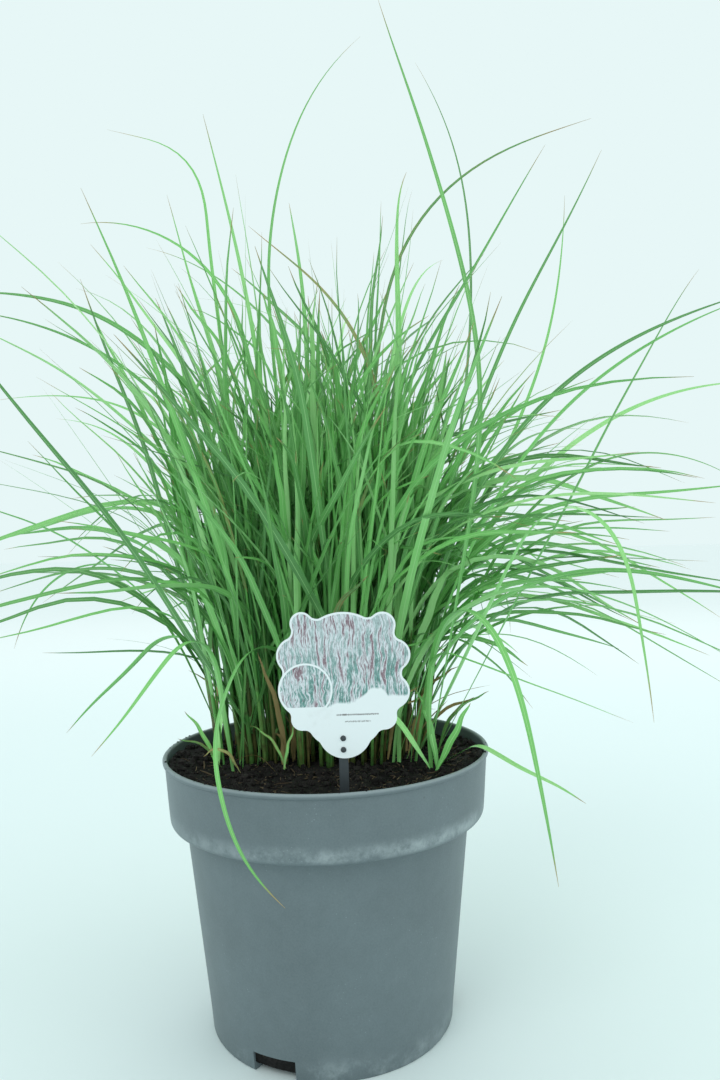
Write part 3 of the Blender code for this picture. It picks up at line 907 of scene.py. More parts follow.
def leaf_material(name, settings, brightness=1.0, dry_bias=0.0):
    """Grass blade: deep to light green, pale midrib, fine veins, straw-brown tip and blotches."""
    material, tree, shader, where = new_material(name, 0.42, 0.5)
    shade = attribute(tree, "shade")
    dryness = add(tree, attribute(tree, "dryness"), dry_bias)
    inputs = {"Rib Width": 0.16, "Vein Count": 8.0, "Tip Length": 0.1, "Dryness": dryness}
    rib, veins, dry = use_group(tree, blade_group(), inputs).outputs
    deep = tint(settings.deep_green, brightness)
    fresh = tint(settings.fresh_green, brightness)
    pale = tint(settings.pale_green, brightness)
    wide = noise(tree, where, 9.0, 3.0)
    level = add(tree, multiply(tree, shade, 0.75), multiply(tree, wide, 0.4))
    colour = blend(tree, remap(tree, level, 0.1, 0.75), deep, fresh)
    colour = blend(tree, remap(tree, level, 0.7, 1.15), colour, pale)
    colour = blend(tree, multiply(tree, veins, 0.22), colour, pale)
    colour = blend(tree, multiply(tree, rib, 0.6), colour, pale)
    colour = blend(tree, dry, colour, settings.straw_colour)
    roughness = remap(tree, dry, 0.0, 1.0, 0.4, 0.75)
    tree.links.new(roughness, shader.inputs["Roughness"])
    paint(tree, shader, colour, add(tree, veins, rib), 0.00012, 0.6)
    return material


def culm_material(settings):
    """Culm in its sheath: green above, brown and straw toward the soil, darker at each joint."""
    material, tree, shader, where = new_material("brown_green_culm", 0.5, 0.4)
    height = height_of(tree, where)
    shade = attribute(tree, "shade")
    low = remap(tree, height, SOIL_LEVEL, SOIL_LEVEL + 0.11, 1.0, 0.0)
    streaks = noise(tree, where, 160.0, 4.0)
    age = add(tree, multiply(tree, low, 0.42), multiply(tree, streaks, 0.6))
    age = add(tree, age, multiply(tree, attribute(tree, "dryness"), 0.6))
    green = blend(tree, shade, settings.deep_green, settings.fresh_green)
    colour = blend(tree, remap(tree, age, 0.45, 1.1), green, settings.sheath_colour)
    joint = multiply(tree, attribute(tree, "joint"), 0.6)
    colour = blend(tree, joint, colour, (0.05, 0.03, 0.015))
    paint(tree, shader, colour, streaks, 0.0003, 0.5)
    return material


def stretched(tree, vector, scale):
    """Place a Mapping node that scales a vector, and return its output."""
    return add_node(tree, "ShaderNodeMapping", {"Vector": vector, "Scale": scale}).outputs[0]


def plume_print(tree, settings, moved, above, shift):
    """Colour of printed grass plumes: fine upright streaks that wander sideways, pale and plum
    with leaf colour toward the foot. Shift picks another part of the pattern."""
    axes = add_node(tree, "ShaderNodeSeparateXYZ", {0: moved})
    wander = maths(tree, "SUBTRACT", noise(tree, moved, 45.0 + 9.0 * shift, 2.0), 0.5)
    bent = add(tree, axes.outputs[0], multiply(tree, wander, 0.008))
    place = add_node(tree, "ShaderNodeCombineXYZ", {0: bent, 1: shift, 2: axes.outputs[2]}).outputs[0]
    fine = noise(tree, stretched(tree, place, (1300.0, 1.0, 260.0)), 1.0, 5.0, 0.75)
    bands = noise(tree, stretched(tree, place, (420.0, 1.0, 42.0)), 1.0, 4.0, 0.65)
    colour = blend(tree, remap(tree, bands, 0.40, 0.47), settings.plume_dark, settings.plume_pale)
    low = remap(tree, above, 10.0, 50.0, 1.0, 0.45)
    leafy = multiply(tree, remap(tree, bands, 0.495, 0.545), low)
    colour = blend(tree, leafy, colour, settings.plume_leaf)
    shaded = remap(tree, fine, 0.36, 0.52, 0.65, 0.0)
    colour = blend(tree, shaded, colour, tint(settings.plume_dark, 0.6))
    bright = remap(tree, fine, 0.52, 0.62, 0.0, 0.85)
    return blend(tree, bright, colour, settings.plume_pale)


def label_material(settings):
    """Printed white plastic: streaks like plumes above a wavy edge, a ringed round inset."""
    material, tree, shader, where = new_material("printed_label", 0.35, 0.5)
    inputs = {0: where, 1: (PLATE_X, PLATE_FRONT_Y, PLATE_Z)}
    moved = add_node(tree, "ShaderNodeVectorMath", inputs, operation="SUBTRACT").outputs[0]
    above = attribute(tree, "above_mm")
    picture = plume_print(tree, settings, moved, above, 0.0)
    inset = plume_print(tree, settings, moved, above, 5.0)
    white = settings.plate_colour
    border = remap(tree, attribute(tree, "edge_mm"), 1.15, 1.4)
    ragged = multiply(tree, maths(tree, "SUBTRACT", noise(tree, moved, 160.0, 5.0), 0.5), 5.0)
    soft_above = remap(tree, add(tree, above, ragged), -0.9, 1.3)
    sharp_above = remap(tree, above, -0.12, 0.12)
    colour = blend(tree, multiply(tree, border, soft_above), white, picture)
    ring = attribute(tree, "inset_mm")
    inside_ring = remap(tree, ring, -0.1, 0.1)
    inside_picture = multiply(tree, remap(tree, ring, 1.1, 1.3), sharp_above)
    colour = blend(tree, inside_ring, colour, white)
    colour = blend(tree, inside_picture, colour, inset)
    colour = blend(tree, attribute(tree, "rule"), colour, (0.18, 0.17, 0.17))
    scuffs = grain(tree, where, 300.0, 0.7)
    worn = multiply(tree, remap(tree, scuffs, 0.55, 0.75), 0.12)
    colour = blend(tree, worn, colour, (0.35, 0.33, 0.3))
    tree.links.new(colour, shader.inputs["Base Color"])
    tree.links.new(remap(tree, scuffs, 0.3, 0.7, 0.28, 0.45), shader.inputs["Roughness"])
    return material


def stake_material(settings):
    """Dark grey moulded plastic with a little soil near its foot."""
    material, tree, shader, where = new_material("dark_stake_plastic", 0.5, 0.45)
    height = height_of(tree, where)
    texture = grain(tree, where, 900.0, 0.5)
    stake = settings.stake_colour
    colour = blend(tree, texture, tint(stake, 0.8), tint(stake, 1.3))
    low = remap(tree, height, SOIL_LEVEL, SOIL_LEVEL + 0.012, 1.0, 0.0)
    dirt = multiply(tree, low, remap(tree, texture, 0.4, 0.6))
    colour = blend(tree, dirt, colour, (0.02, 0.014, 0.01))
    paint(tree, shader, colour, texture, 0.0001, 0.4)
    return material


# ------------------------------------------------------------------ settings


def colour_property(name, description, default):
    """A linear colour that a user can change."""
    return FloatVectorProperty(
        name=name, description=description, subtype="COLOR", size=3, min=0.0, max=1.0, default=default
    )


def length_property(name, description, default, low, high):
    """A length that a user can change."""
    return FloatProperty(
        name=name, description=description, default=default, min=low, max=high, unit="LENGTH"
    )


def count_property(name, description, default, low, high):
    """A whole number that a user can change."""
    return IntProperty(name=name, description=description, default=default, min=low, max=high)


class PotSettings(bpy.types.PropertyGroup):
    """Sizes and colours of the container and its soil."""

    plastic_colour: colour_property("Plastic", "Colour of the pot's plastic", (0.098, 0.130, 0.144))
    # The dust colour also paints the highlight along the top of the pot's lip.
    dust_and_highlight_colour: colour_property("Dust", "Colour of dust and wear on the pot", (0.46, 0.52, 0.54))
    peat_colour: colour_property("Peat", "Colour of the soil", (0.0125, 0.0105, 0.0100))
    fibre_colour: colour_property("Fibres", "Colour of bark and straw in the soil", (0.22, 0.155, 0.095))
    round_steps: count_property("Round Steps", "Steps round the pot", 168, 48, 360)
    soil_relief: length_property("Soil Relief", "How far the soil's top rises and falls", 0.004, 0.0, 0.01)
    crumb_count: count_property("Crumbs", "Loose crumbs on the soil", 2600, 0, 6000)
    fibre_count: count_property("Fibres", "Bits of bark and straw on the soil", 420, 0, 2000)


class LabelSettings(bpy.types.PropertyGroup):
    """Colours of the plant label and its stake."""

    plate_colour: colour_property("Plate", "Colour of the plain plate", (0.80, 0.84, 0.86))
    plume_pale: colour_property("Pale Plumes", "Palest streaks of the print", (0.66, 0.70, 0.74))
    plume_dark: colour_property("Plum Plumes", "Darker streaks of the print", (0.24, 0.15, 0.18))
    plume_leaf: colour_property("Teal Leaves", "Green streaks of the print", (0.10, 0.28, 0.25))
    stake_colour: colour_property("Stake", "Colour of the stake", (0.035, 0.042, 0.048))


class GrassSettings(bpy.types.PropertyGroup):
    """Counts, sizes and colours of the clump."""

    deep_green: colour_property("Deep Green", "Darkest leaf colour", (0.036, 0.180, 0.036))
    fresh_green: colour_property("Fresh Green", "Middle leaf colour", (0.175, 0.550, 0.125))
    pale_green: colour_property("Pale Green", "Lightest leaf colour", (0.460, 0.800, 0.350))
    straw_colour: colour_property("Straw", "Dry tips and blades", (0.42, 0.31, 0.13))
    sheath_colour: colour_property("Sheaths", "Old sheaths at the foot of the culms", (0.135, 0.125, 0.040))
    seed: IntProperty(name="Seed", description="Starting number of the clump's chance", default=7)
    culm_count: count_property("Culms", "Culms besides the main ones", 170, 0, 800)
    leaves_per_culm: count_property("Leaves per Culm", "Leaves on each culm", 6, 1, 12)
    spreading_leaves: count_property("Spreading Leaves", "Long leaves that arch out", 110, 0, 600)
    crown_width: length_property("Crown Width", "Width of the stand of culms at the soil", 0.164, 0.05, 0.19)
    crown_depth: length_property(
        "Crown Depth", "Front to back size of the stand of culms at the soil", 0.088, 0.03, 0.12
    )
    clump_height: length_property(
        "Clump Height", "Height of the dense part of the clump above the soil", 0.33, 0.15, 0.5
    )
    leaf_half_width: length_property("Leaf Half Width", "Half the width of a full leaf", 0.0027, 0.001, 0.005)
    edge_room: length_property(
        "Room Past the Model", "How far leaf tips may pass the packed model's box", 0.012, 0.0, 0.02
    )


class StageSettings(bpy.types.PropertyGroup):
    """Floor, light and camera."""

    floor_colour: colour_property("Floor", "Colour of the floor", (0.76, 0.84, 0.84))
    sky_colour: colour_property("Surroundings", "Colour of the light all round", (0.80, 0.93, 0.93))
    sky_strength: FloatProperty(
        name="Surrounding Light", description="Strength of the light all round", default=1.0, min=0.0
    )
    lamp_power: FloatProperty(
        name="Lamp Power", description="Power of the large soft lamp", default=13.0, min=0.0, unit="POWER"
    )


class PottedGrassSettings(bpy.types.PropertyGroup):
    """All settings of the potted grass."""

    pot: PointerProperty(type=PotSettings)
    label: PointerProperty(type=LabelSettings)
    grass: PointerProperty(type=GrassSettings)
    stage: PointerProperty(type=StageSettings)


# ------------------------------------------------------------------ pieces


class POTTEDGRASS_OT_pot(bpy.types.Operator):
    """Build the moulded pot: floor, tapered wall, step, collar and rolled lip"""

    bl_idname = "potted_grass.pot"
    bl_label = "Pot"

    def execute(self, context):
        settings = context.scene.potted_grass.pot
        inside = [FLOOR_PROFILE, LOW_INNER, refine(INNER_WALL, 12.0)]
        lip = rounded(ROUND_LIP)[1:-1]
        outside = [refine(rounded(ROUND_OUTER_WALL), 6.0), LOW_OUTER, UNDER_PROFILE]
        profile = np.concatenate([*inside, lip, *outside])
        first = len(FLOOR_PROFILE)
        inner_rows = np.arange(first, first + len(LOW_INNER) + 1)
        last = len(profile) - len(UNDER_PROFILE)
        outer_rows = np.arange(last - 1, last - len(LOW_OUTER) - 2, -1)
        angles, in_drain = drain_angles(settings.round_steps)
        points = turned_grid(profile * MM, angles)
        rows, columns = points.shape[:2]
        cells = grid_quads(rows, columns)
        keep = np.ones(cells.shape[:2], bool)
        cut_rows = np.concatenate([inner_rows[:-1], outer_rows[1:]])
        keep[np.ix_(cut_rows, in_drain)] = False
        faces = [cells[keep]]
        columns_in = np.nonzero(in_drain)[0]
        after = (columns_in + 1) % columns
        for top, bottom in ((inner_rows[-1], outer_rows[-1]), (outer_rows[0], inner_rows[0])):
            upper, lower = top * columns, bottom * columns
            ends = [upper + columns_in, upper + after, lower + after, lower + columns_in]
            faces.append(np.stack(ends, -1))
        starts = columns_in[~in_drain[columns_in - 1]]
        stops = after[~in_drain[after]]
        for column, turn in [(c, False) for c in starts] + [(c, True) for c in stops]:
            a = inner_rows * columns + column
            b = outer_rows * columns + column
            jamb = np.stack([a[:-1], a[1:], b[1:], b[:-1]], -1)
            faces.append(jamb[:, ::-1] if turn else jamb)
        vertices = np.concatenate([points.reshape(-1, 3), [(0, 0, FLOOR * MM), (0, 0, 0)]])
        ring = np.arange(columns)
        faces.append(fan(rows * columns, ring))
        faces.append(fan(rows * columns + 1, ring + (rows - 1) * columns, turned=True))
        pot = new_mesh_object("pot_shell", vertices, faces, sharp_angle=50.0)
        finish_piece(pot, pot_material(settings), ["pot"])
        return {"FINISHED"}


def drain_angles(steps):
    """Angles round the pot that include both sides of every drain, and which cells are drain."""
    half = math.asin(DRAIN_WIDTH / 2.0 / BASE_RADIUS)
    blocks, flags = [], []
    per_drain = steps // DRAIN_COUNT
    inside = max(4, round(per_drain * half * 2.0 / (2.0 * math.pi / DRAIN_COUNT)))
    for index in range(DRAIN_COUNT):
        middle = math.radians(DRAIN_FIRST_ANGLE + index * 360.0 / DRAIN_COUNT)
        after = middle + 2.0 * math.pi / DRAIN_COUNT - half
        blocks.append(np.linspace(middle - half, middle + half, inside, endpoint=False))
        blocks.append(np.linspace(middle + half, after, per_drain - inside, endpoint=False))
        flags += [True] * inside + [False] * (per_drain - inside)
    return np.concatenate(blocks), np.array(flags)


def soil_height(x, y):
    """Height of the soil's top: three sizes of lattice noise, level on average, a little lower
    at the wall in front and behind, and heaped against the wall on both sides."""
    place = np.stack([x, y], -1)
    wave = 0.5 * lattice_noise(place, 0.022, 1) + 0.3 * lattice_noise(place, 0.008, 2)
    wave += 0.2 * lattice_noise(place, 0.0035, 3) - 0.5
    relief = bpy.context.scene.potted_grass.pot.soil_relief
    radius = np.hypot(x, y)
    edge = np.clip((radius - 0.078) / 0.030, 0.0, 1.0)
    sideways = (np.abs(x) / np.maximum(radius, 1e-6)) ** 4
    heap = (0.0105 * sideways - 0.0015 * (1.0 - sideways)) * edge
    return SOIL_LEVEL - 0.0006 + 1.6 * relief * wave + heap


class POTTEDGRASS_OT_soil(bpy.types.Operator):
    """Build the peat: an uneven top and plain sides a fraction clear of the pot"""

    bl_idname = "potted_grass.soil"
    bl_label = "Soil"

    def execute(self, context):
        settings = context.scene.potted_grass.pot
        top_radius = np.sqrt(np.linspace(0.0, 1.0, SOIL_RINGS + 1)[1:]) * SOIL_HI.x
        angles = np.linspace(0.0, 2.0 * np.pi, SOIL_COLUMNS, endpoint=False)
        top = np.stack([top_radius / MM, np.full(SOIL_RINGS, SOIL_LEVEL / MM)], -1)
        points = turned_grid(np.concatenate([top, SOIL_SIDE]) * MM, angles)
        upper = points[: len(top)]
        upper[..., 2] = soil_height(upper[..., 0], upper[..., 1])
        middle_top = (0.0, 0.0, float(soil_height(np.zeros(1), np.zeros(1))[0]))
        middle_foot = (0.0, 0.0, (FLOOR + SOIL_GAP) * MM)
        vertices = np.concatenate([points.reshape(-1, 3), [middle_top, middle_foot]])
        faces = capped_faces(*points.shape[:2])
        soil = new_mesh_object("peat_body", vertices, faces, sharp_angle=60.0)
        finish_piece(soil, peat_material("damp_peat", settings), ["soil"])
        return {"FINISHED"}


GOLDEN_RATIO = (1.0 + math.sqrt(5.0)) / 2.0
ICOSAHEDRON = np.array(
    [(-1, GOLDEN_RATIO, 0), (1, GOLDEN_RATIO, 0), (-1, -GOLDEN_RATIO, 0), (1, -GOLDEN_RATIO, 0)]
    + [(0, -1, GOLDEN_RATIO), (0, 1, GOLDEN_RATIO), (0, -1, -GOLDEN_RATIO), (0, 1, -GOLDEN_RATIO)]
    + [(GOLDEN_RATIO, 0, -1), (GOLDEN_RATIO, 0, 1), (-GOLDEN_RATIO, 0, -1), (-GOLDEN_RATIO, 0, 1)]
) / math.sqrt(1.0 + GOLDEN_RATIO**2)
ICOSAHEDRON_FACES = np.array(
    [(0, 11, 5), (0, 5, 1), (0, 1, 7), (0, 7, 10), (0, 10, 11), (1, 5, 9), (5, 11, 4)]
    + [(11, 10, 2), (10, 7, 6), (7, 1, 8), (3, 9, 4), (3, 4, 2), (3, 2, 6), (3, 6, 8)]
    + [(3, 8, 9), (4, 9, 5), (2, 4, 11), (6, 2, 10), (8, 6, 7), (9, 8, 1)]
)


def crumb_shapes(places, sizes, rng):
    """Small uneven lumps: each corner of an icosahedron is pushed in or out at random, and the
    lump is stretched along the three axes."""
    count = len(places)
    push = rng.uniform(0.65, 1.25, (count, 12, 1))
    stretch = rng.uniform(0.6, 1.3, (count, 1, 3))
    points = places[:, None] + ICOSAHEDRON[None] * push * stretch * sizes[:, None, None]
    faces = (ICOSAHEDRON_FACES[None] + (np.arange(count) * 12)[:, None, None]).reshape(-1, 3)
    return points.reshape(-1, 3), faces


class POTTEDGRASS_OT_crumbs(bpy.types.Operator):
    """Scatter loose crumbs of peat over the soil, and a few on the lip"""

    bl_idname = "potted_grass.crumbs"
    bl_label = "Soil Crumbs"

    def execute(self, context):
        settings = context.scene.potted_grass.pot
        rng = np.random.default_rng(21)
        count = settings.crumb_count
        radius = CRUMB_REACH * np.sqrt(rng.uniform(0.02, 1.0, count))
        angle = rng.uniform(0.0, 2.0 * np.pi, count)
        x, y = radius * np.cos(angle), radius * np.sin(angle)
        sizes = 0.0007 + 0.0024 * rng.random(count) ** 3
        places = np.stack([x, y, soil_height(x, y) + sizes * 0.35], -1)
        left = rng.uniform(150.0, 260.0, LIP_CRUMBS_LEFT)
        right = rng.uniform(270.0, 360.0, LIP_CRUMBS_RIGHT)
        lip = np.full((len(left) + len(right), 3), RIM_HEIGHT * MM + 0.0002)
        lip[:, :2] = (RIM_RADIUS - 1.6) * MM * directions(np.radians(np.concatenate([left, right])))
        places = np.concatenate([places, lip])
        sizes = np.concatenate([sizes, rng.uniform(0.0004, 0.0011, len(lip))])
        points, faces = crumb_shapes(places, sizes, rng)
        crumbs = new_mesh_object("peat_crumbs", points, [faces], sharp_angle=30.0)
        finish_piece(crumbs, peat_material("crumbled_peat", settings, 1.5))
        return {"FINISHED"}


class POTTEDGRASS_OT_fibres(bpy.types.Operator):
    """Scatter thin bits of bark and straw over the soil"""

    bl_idname = "potted_grass.fibres"
    bl_label = "Soil Fibres"

    def execute(self, context):
        settings = context.scene.potted_grass.pot
        rng = np.random.default_rng(33)
        count = settings.fibre_count
        radius = FIBRE_REACH * np.sqrt(rng.uniform(0.05, 1.0, count))
        angle = rng.uniform(0.0, 2.0 * np.pi, count)
        heading = rng.uniform(0.0, 2.0 * np.pi, count)
        length = 0.003 + 0.010 * rng.random(count) ** 2
        share = np.linspace(-0.5, 0.5, 6)
        bow = rng.uniform(-0.25, 0.25, (count, 1)) * (0.25 - share**2)
        along = share * length[:, None]
        across = bow * length[:, None]
        cos, sin = np.cos(heading)[:, None], np.sin(heading)[:, None]
        x = (radius * np.cos(angle))[:, None] + along * cos - across * sin
        y = (radius * np.sin(angle))[:, None] + along * sin + across * cos
        inside = np.minimum(1.0, FIBRE_END_REACH / np.maximum(np.hypot(x, y), 1e-6))
        x, y = x * inside, y * inside
        thick = 0.00025 + 0.0005 * rng.random(count) ** 2
        z = soil_height(x, y) + 0.6 * thick[:, None] + 0.0006 * rng.random((count, 1))
        points = np.stack([x, y, z], -1)
        side, up = path_frames(points, np.broadcast_to(heading[:, None], x.shape), np.zeros_like(x))
        section = np.array(((1.0, 0.0), (0.3, 0.8), (-0.8, 0.5), (-0.4, -0.7)))
        width = thick[:, None] * (1.1 - 1.2 * np.abs(share))
        shape = sweep(points, side, up, width, section, {"shade": rng.random(count)})
        fibres = new_mesh_object("peat_fibres", *shape)
        finish_piece(fibres, fibre_material(settings))
        return {"FINISHED"}


def disc_outline(angles, grow):
    """Reach of the discs' common outline along each ray from the label's middle, in
    millimetres: where the ray leaves the farthest of the grown discs that it crosses."""
    direction = directions(angles)[:, None]
    centre = PLATE_DISCS[None, :, :2]
    radius = PLATE_DISCS[None, :, 2] + grow
    along = (centre * direction).sum(-1)
    across = centre[..., 0] * direction[..., 1] - centre[..., 1] * direction[..., 0]
    leaves = along + np.sqrt(np.maximum(0.0, radius**2 - across**2))
    return np.where(np.abs(across) < radius, leaves, 0.0).max(1)


def plate_outline(angles):
    """Reach of the plate's edge along each ray: the grown outline moved back in by the same
    amount, which rounds the hollows between the scallops. The place is found by halving."""
    turn = np.linspace(0.0, 2.0 * np.pi, PLATE_COLUMNS, endpoint=False)
    rim = disc_outline(turn, PLATE_FILLET)[:, None] * directions(turn)
    low, high = np.zeros(len(angles)), disc_outline(angles, PLATE_FILLET)
    halvings = 24
    for _ in range(halvings):
        middle = 0.5 * (low + high)
        inside = nearest_distance(middle[:, None] * directions(angles), rim) > PLATE_FILLET
        low, high = np.where(inside, middle, low), np.where(inside, high, middle)
    return low


class POTTEDGRASS_OT_plate(bpy.types.Operator):
    """Build the label's scalloped plate with its print"""

    bl_idname = "potted_grass.plate"
    bl_label = "Label Plate"

    def execute(self, context):
        settings = context.scene.potted_grass.label
        angles = np.linspace(0.0, 2.0 * np.pi, PLATE_COLUMNS, endpoint=False)
        reach = plate_outline(angles)
        thick = PLATE_THICK / MM
        shares = np.append(np.linspace(0.0, 1.0, PLATE_RINGS + 1)[1:], [1.0, 1.0, 1.0])
        depth = np.append(np.zeros(PLATE_RINGS), [thick * 0.5, thick - PLATE_BEVEL, thick])
        radius = shares[:, None] * reach
        radius[[PLATE_RINGS - 1, -1]] = reach - PLATE_BEVEL
        x = radius * np.cos(angles)
        z = radius * np.sin(angles)
        y = np.broadcast_to(depth[:, None], x.shape)
        flat = np.stack([x, y, z], -1).reshape(-1, 3)
        flat = np.concatenate([flat, [(0.0, 0.0, 0.0), (0.0, thick, 0.0)]])
        edge = nearest_distance(flat[:, (0, 2)], reach[:, None] * directions(angles))
        above = flat[:, 2] - np.interp(flat[:, 0], PICTURE_EDGE[:, 0], PICTURE_EDGE[:, 1])
        from_inset = np.hypot(flat[:, 0] - INSET_DISC[0], flat[:, 2] - INSET_DISC[1])
        ring = INSET_DISC[2] + INSET_RING - from_inset
        back = flat[:, 1] > 0.5 * thick
        rule = label_rules(flat[:, 0], flat[:, 2])
        unprinted = -9.0
        values = {"edge_mm": edge, "above_mm": np.where(back, unprinted, above)}
        values["inset_mm"] = np.where(back, unprinted, ring)
        values["rule"] = np.where(back, 0.0, rule)
        vertices = flat * MM + np.array([PLATE_X, PLATE_FRONT_Y, PLATE_Z])
        faces = capped_faces(*x.shape)
        plate = new_mesh_object("label_plate", vertices, faces, values=values, sharp_angle=40.0)
        finish_piece(plate, label_material(settings), ["tag_plate"])
        return {"FINISHED"}


def nearest_distance(points, outline):
    """Distance from each point to the nearest point of an outline."""
    found = np.full(len(points), np.inf)
    for block in np.array_split(outline, 12):
        gap = np.linalg.norm(points[:, None] - block[None], axis=-1).min(1)
        found = np.minimum(found, gap)
    return found


def label_rules(x, z):
    """1 on two thin plain lines across the white foot of the label, else 0."""
    upper = (np.abs(z + 18.2) < 0.35) & (np.abs(x - 8.0) < 13.0)
    lower = (np.abs(z + 22.4) < 0.25) & (np.abs(x - 8.0) < 8.0)
    return (upper | lower).astype(float)


def bar_surface(section, heights, widths, centre):
    """A closed section carried straight up: at each height it is scaled by that width."""
    points = np.zeros((1, len(heights), 3)) + np.array(centre)
    points[..., 2] = heights
    side = np.zeros_like(points) + np.array([1.0, 0.0, 0.0])
    up = np.zeros_like(points) + np.array([0.0, 1.0, 0.0])
    return sweep(points, side, up, np.asarray(widths)[None], section, {})


def stud_surface(height):
    """A round-headed stud: a dome profile turned round an axis that points to the front."""
    front = PLATE_FRONT_Y - 0.0004
    turn = np.linspace(0.0, 2.0 * np.pi, 24, endpoint=False)
    rise = np.linspace(0.0, 0.5 * np.pi, 7)
    radius = np.append([STUD_STEM_RADIUS] * 2, STUD_RADIUS * np.cos(rise[:-1]))
    depth = np.append([front + STUD_STEM, front], front - STUD_RISE * np.sin(rise[:-1]))
    x = STAKE_X + radius[:, None] * np.cos(turn)
    z = height + radius[:, None] * np.sin(turn)
    y = np.broadcast_to(depth[:, None], x.shape)
    tip = (STAKE_X, front - STUD_RISE, height)
    vertices = np.concatenate([np.stack([x, y, z], -1).reshape(-1, 3), [tip]])
    rows, columns = x.shape
    ring = np.arange(columns)
    last = ring + (rows - 1) * columns
    faces = [grid_quads(rows, columns).reshape(-1, 4), ring[::-1][None]]
    faces.append(np.roll(fan(rows * columns, last), -1, axis=1))
    return vertices, faces, np.zeros((len(vertices), 2)), {}


class POTTEDGRASS_OT_stake(bpy.types.Operator):
    """Build the label's stake and its two studs"""

    bl_idname = "potted_grass.stake"
    bl_label = "Label Stake"

    def execute(self, context):
        settings = context.scene.potted_grass.label
        corner = np.linspace(0.0, 0.5 * np.pi, 5)
        half_width, half_thick, bevel = STAKE_WIDTH / 2.0, STAKE_THICK / 2.0, 0.0005
        quarter = directions(corner) * bevel
        quarter += (half_width - bevel, half_thick - bevel)
        left, right = (quarter * (-1, 1))[::-1], (quarter * (1, -1))[::-1]
        section = np.concatenate([quarter, left, -quarter, right])
        bottom, top = STAKE_LO.z, STAKE_HI.z
        heights = np.array([bottom, bottom + 0.014, bottom + 0.05, top - 0.0012, top - 0.0004, top])
        widths = np.array([0.25, 1.0, 1.0, 1.0, 0.94, 0.80])
        middle_y = PLATE_FRONT_Y + PLATE_THICK + 0.0004 + half_thick
        bar = bar_surface(section, heights, widths, (STAKE_X, middle_y, 0.0))
        parts = [bar] + [stud_surface(height) for height in STUD_HEIGHTS]
        vertices, faces, _, _ = join_arrays(parts)
        stake = new_mesh_object("label_stake", vertices, faces, sharp_angle=40.0)
        finish_piece(stake, stake_material(settings), ["tag_stake"])
        return {"FINISHED"}


class POTTEDGRASS_OT_culms(bpy.types.Operator):
    """Build the crown of upright culms with their joints"""

    bl_idname = "potted_grass.culms"
    bl_label = "Culms"

    def execute(self, context):
        settings = context.scene.potted_grass.grass
        rng = np.random.default_rng(settings.seed + 1)
        table = culm_table(settings)
        count = len(table["angle"])
        shares, joints = CULM_RINGS.T
        points = culm_line(table, shares * (table["height"][:, None] + CULM_FOOT) - CULM_FOOT)
        around = np.linspace(0.0, 2.0 * np.pi, 7, endpoint=False)
        section = directions(around)
        azimuth = np.broadcast_to(table["angle"][:, None], points.shape[:2])
        side, up = path_frames(points, azimuth, np.zeros(points.shape[:2]))
        stout = rng.uniform(0.0010, 0.0020, count)
        stout[: len(CULM_NODES)] = 0.0016
        width = stout[:, None] * (1.0 - 0.5 * shares) * (1.0 + 0.22 * joints)
        values = {"shade": rng.random(count), "dryness": rng.random(count) ** 2}
        vertices, faces, uv, values = sweep(points, side, up, width, section, values)
        ring_joint = np.broadcast_to(joints[None, :, None], (count, len(shares), len(section)))
        values["joint"] = ring_joint.ravel()
        culms = new_mesh_object("culms", vertices, faces, uv, values)
        finish_piece(culms, culm_material(settings), CULM_NODES)
        return {"FINISHED"}


class POTTEDGRASS_OT_main_leaves(bpy.types.Operator):
    """Build the large single leaves that give the clump its outline"""

    bl_idname = "potted_grass.main_leaves"
    bl_label = "Main Leaves"

    def execute(self, context):
        settings = context.scene.potted_grass.grass
        rng = np.random.default_rng(settings.seed + 2)
        shape = blade_surface(
            MAIN_BLADES + SIDE_BLADES, 56, FINE_SECTION, rng, (35.0, 70.0), face_front=True
        )
        leaves = new_mesh_object("main_leaves", *shape, sharp_angle=40.0)
        material = leaf_material("main_leaf", settings, 1.05)
        finish_piece(leaves, material, LEAF_NODES)
        return {"FINISHED"}


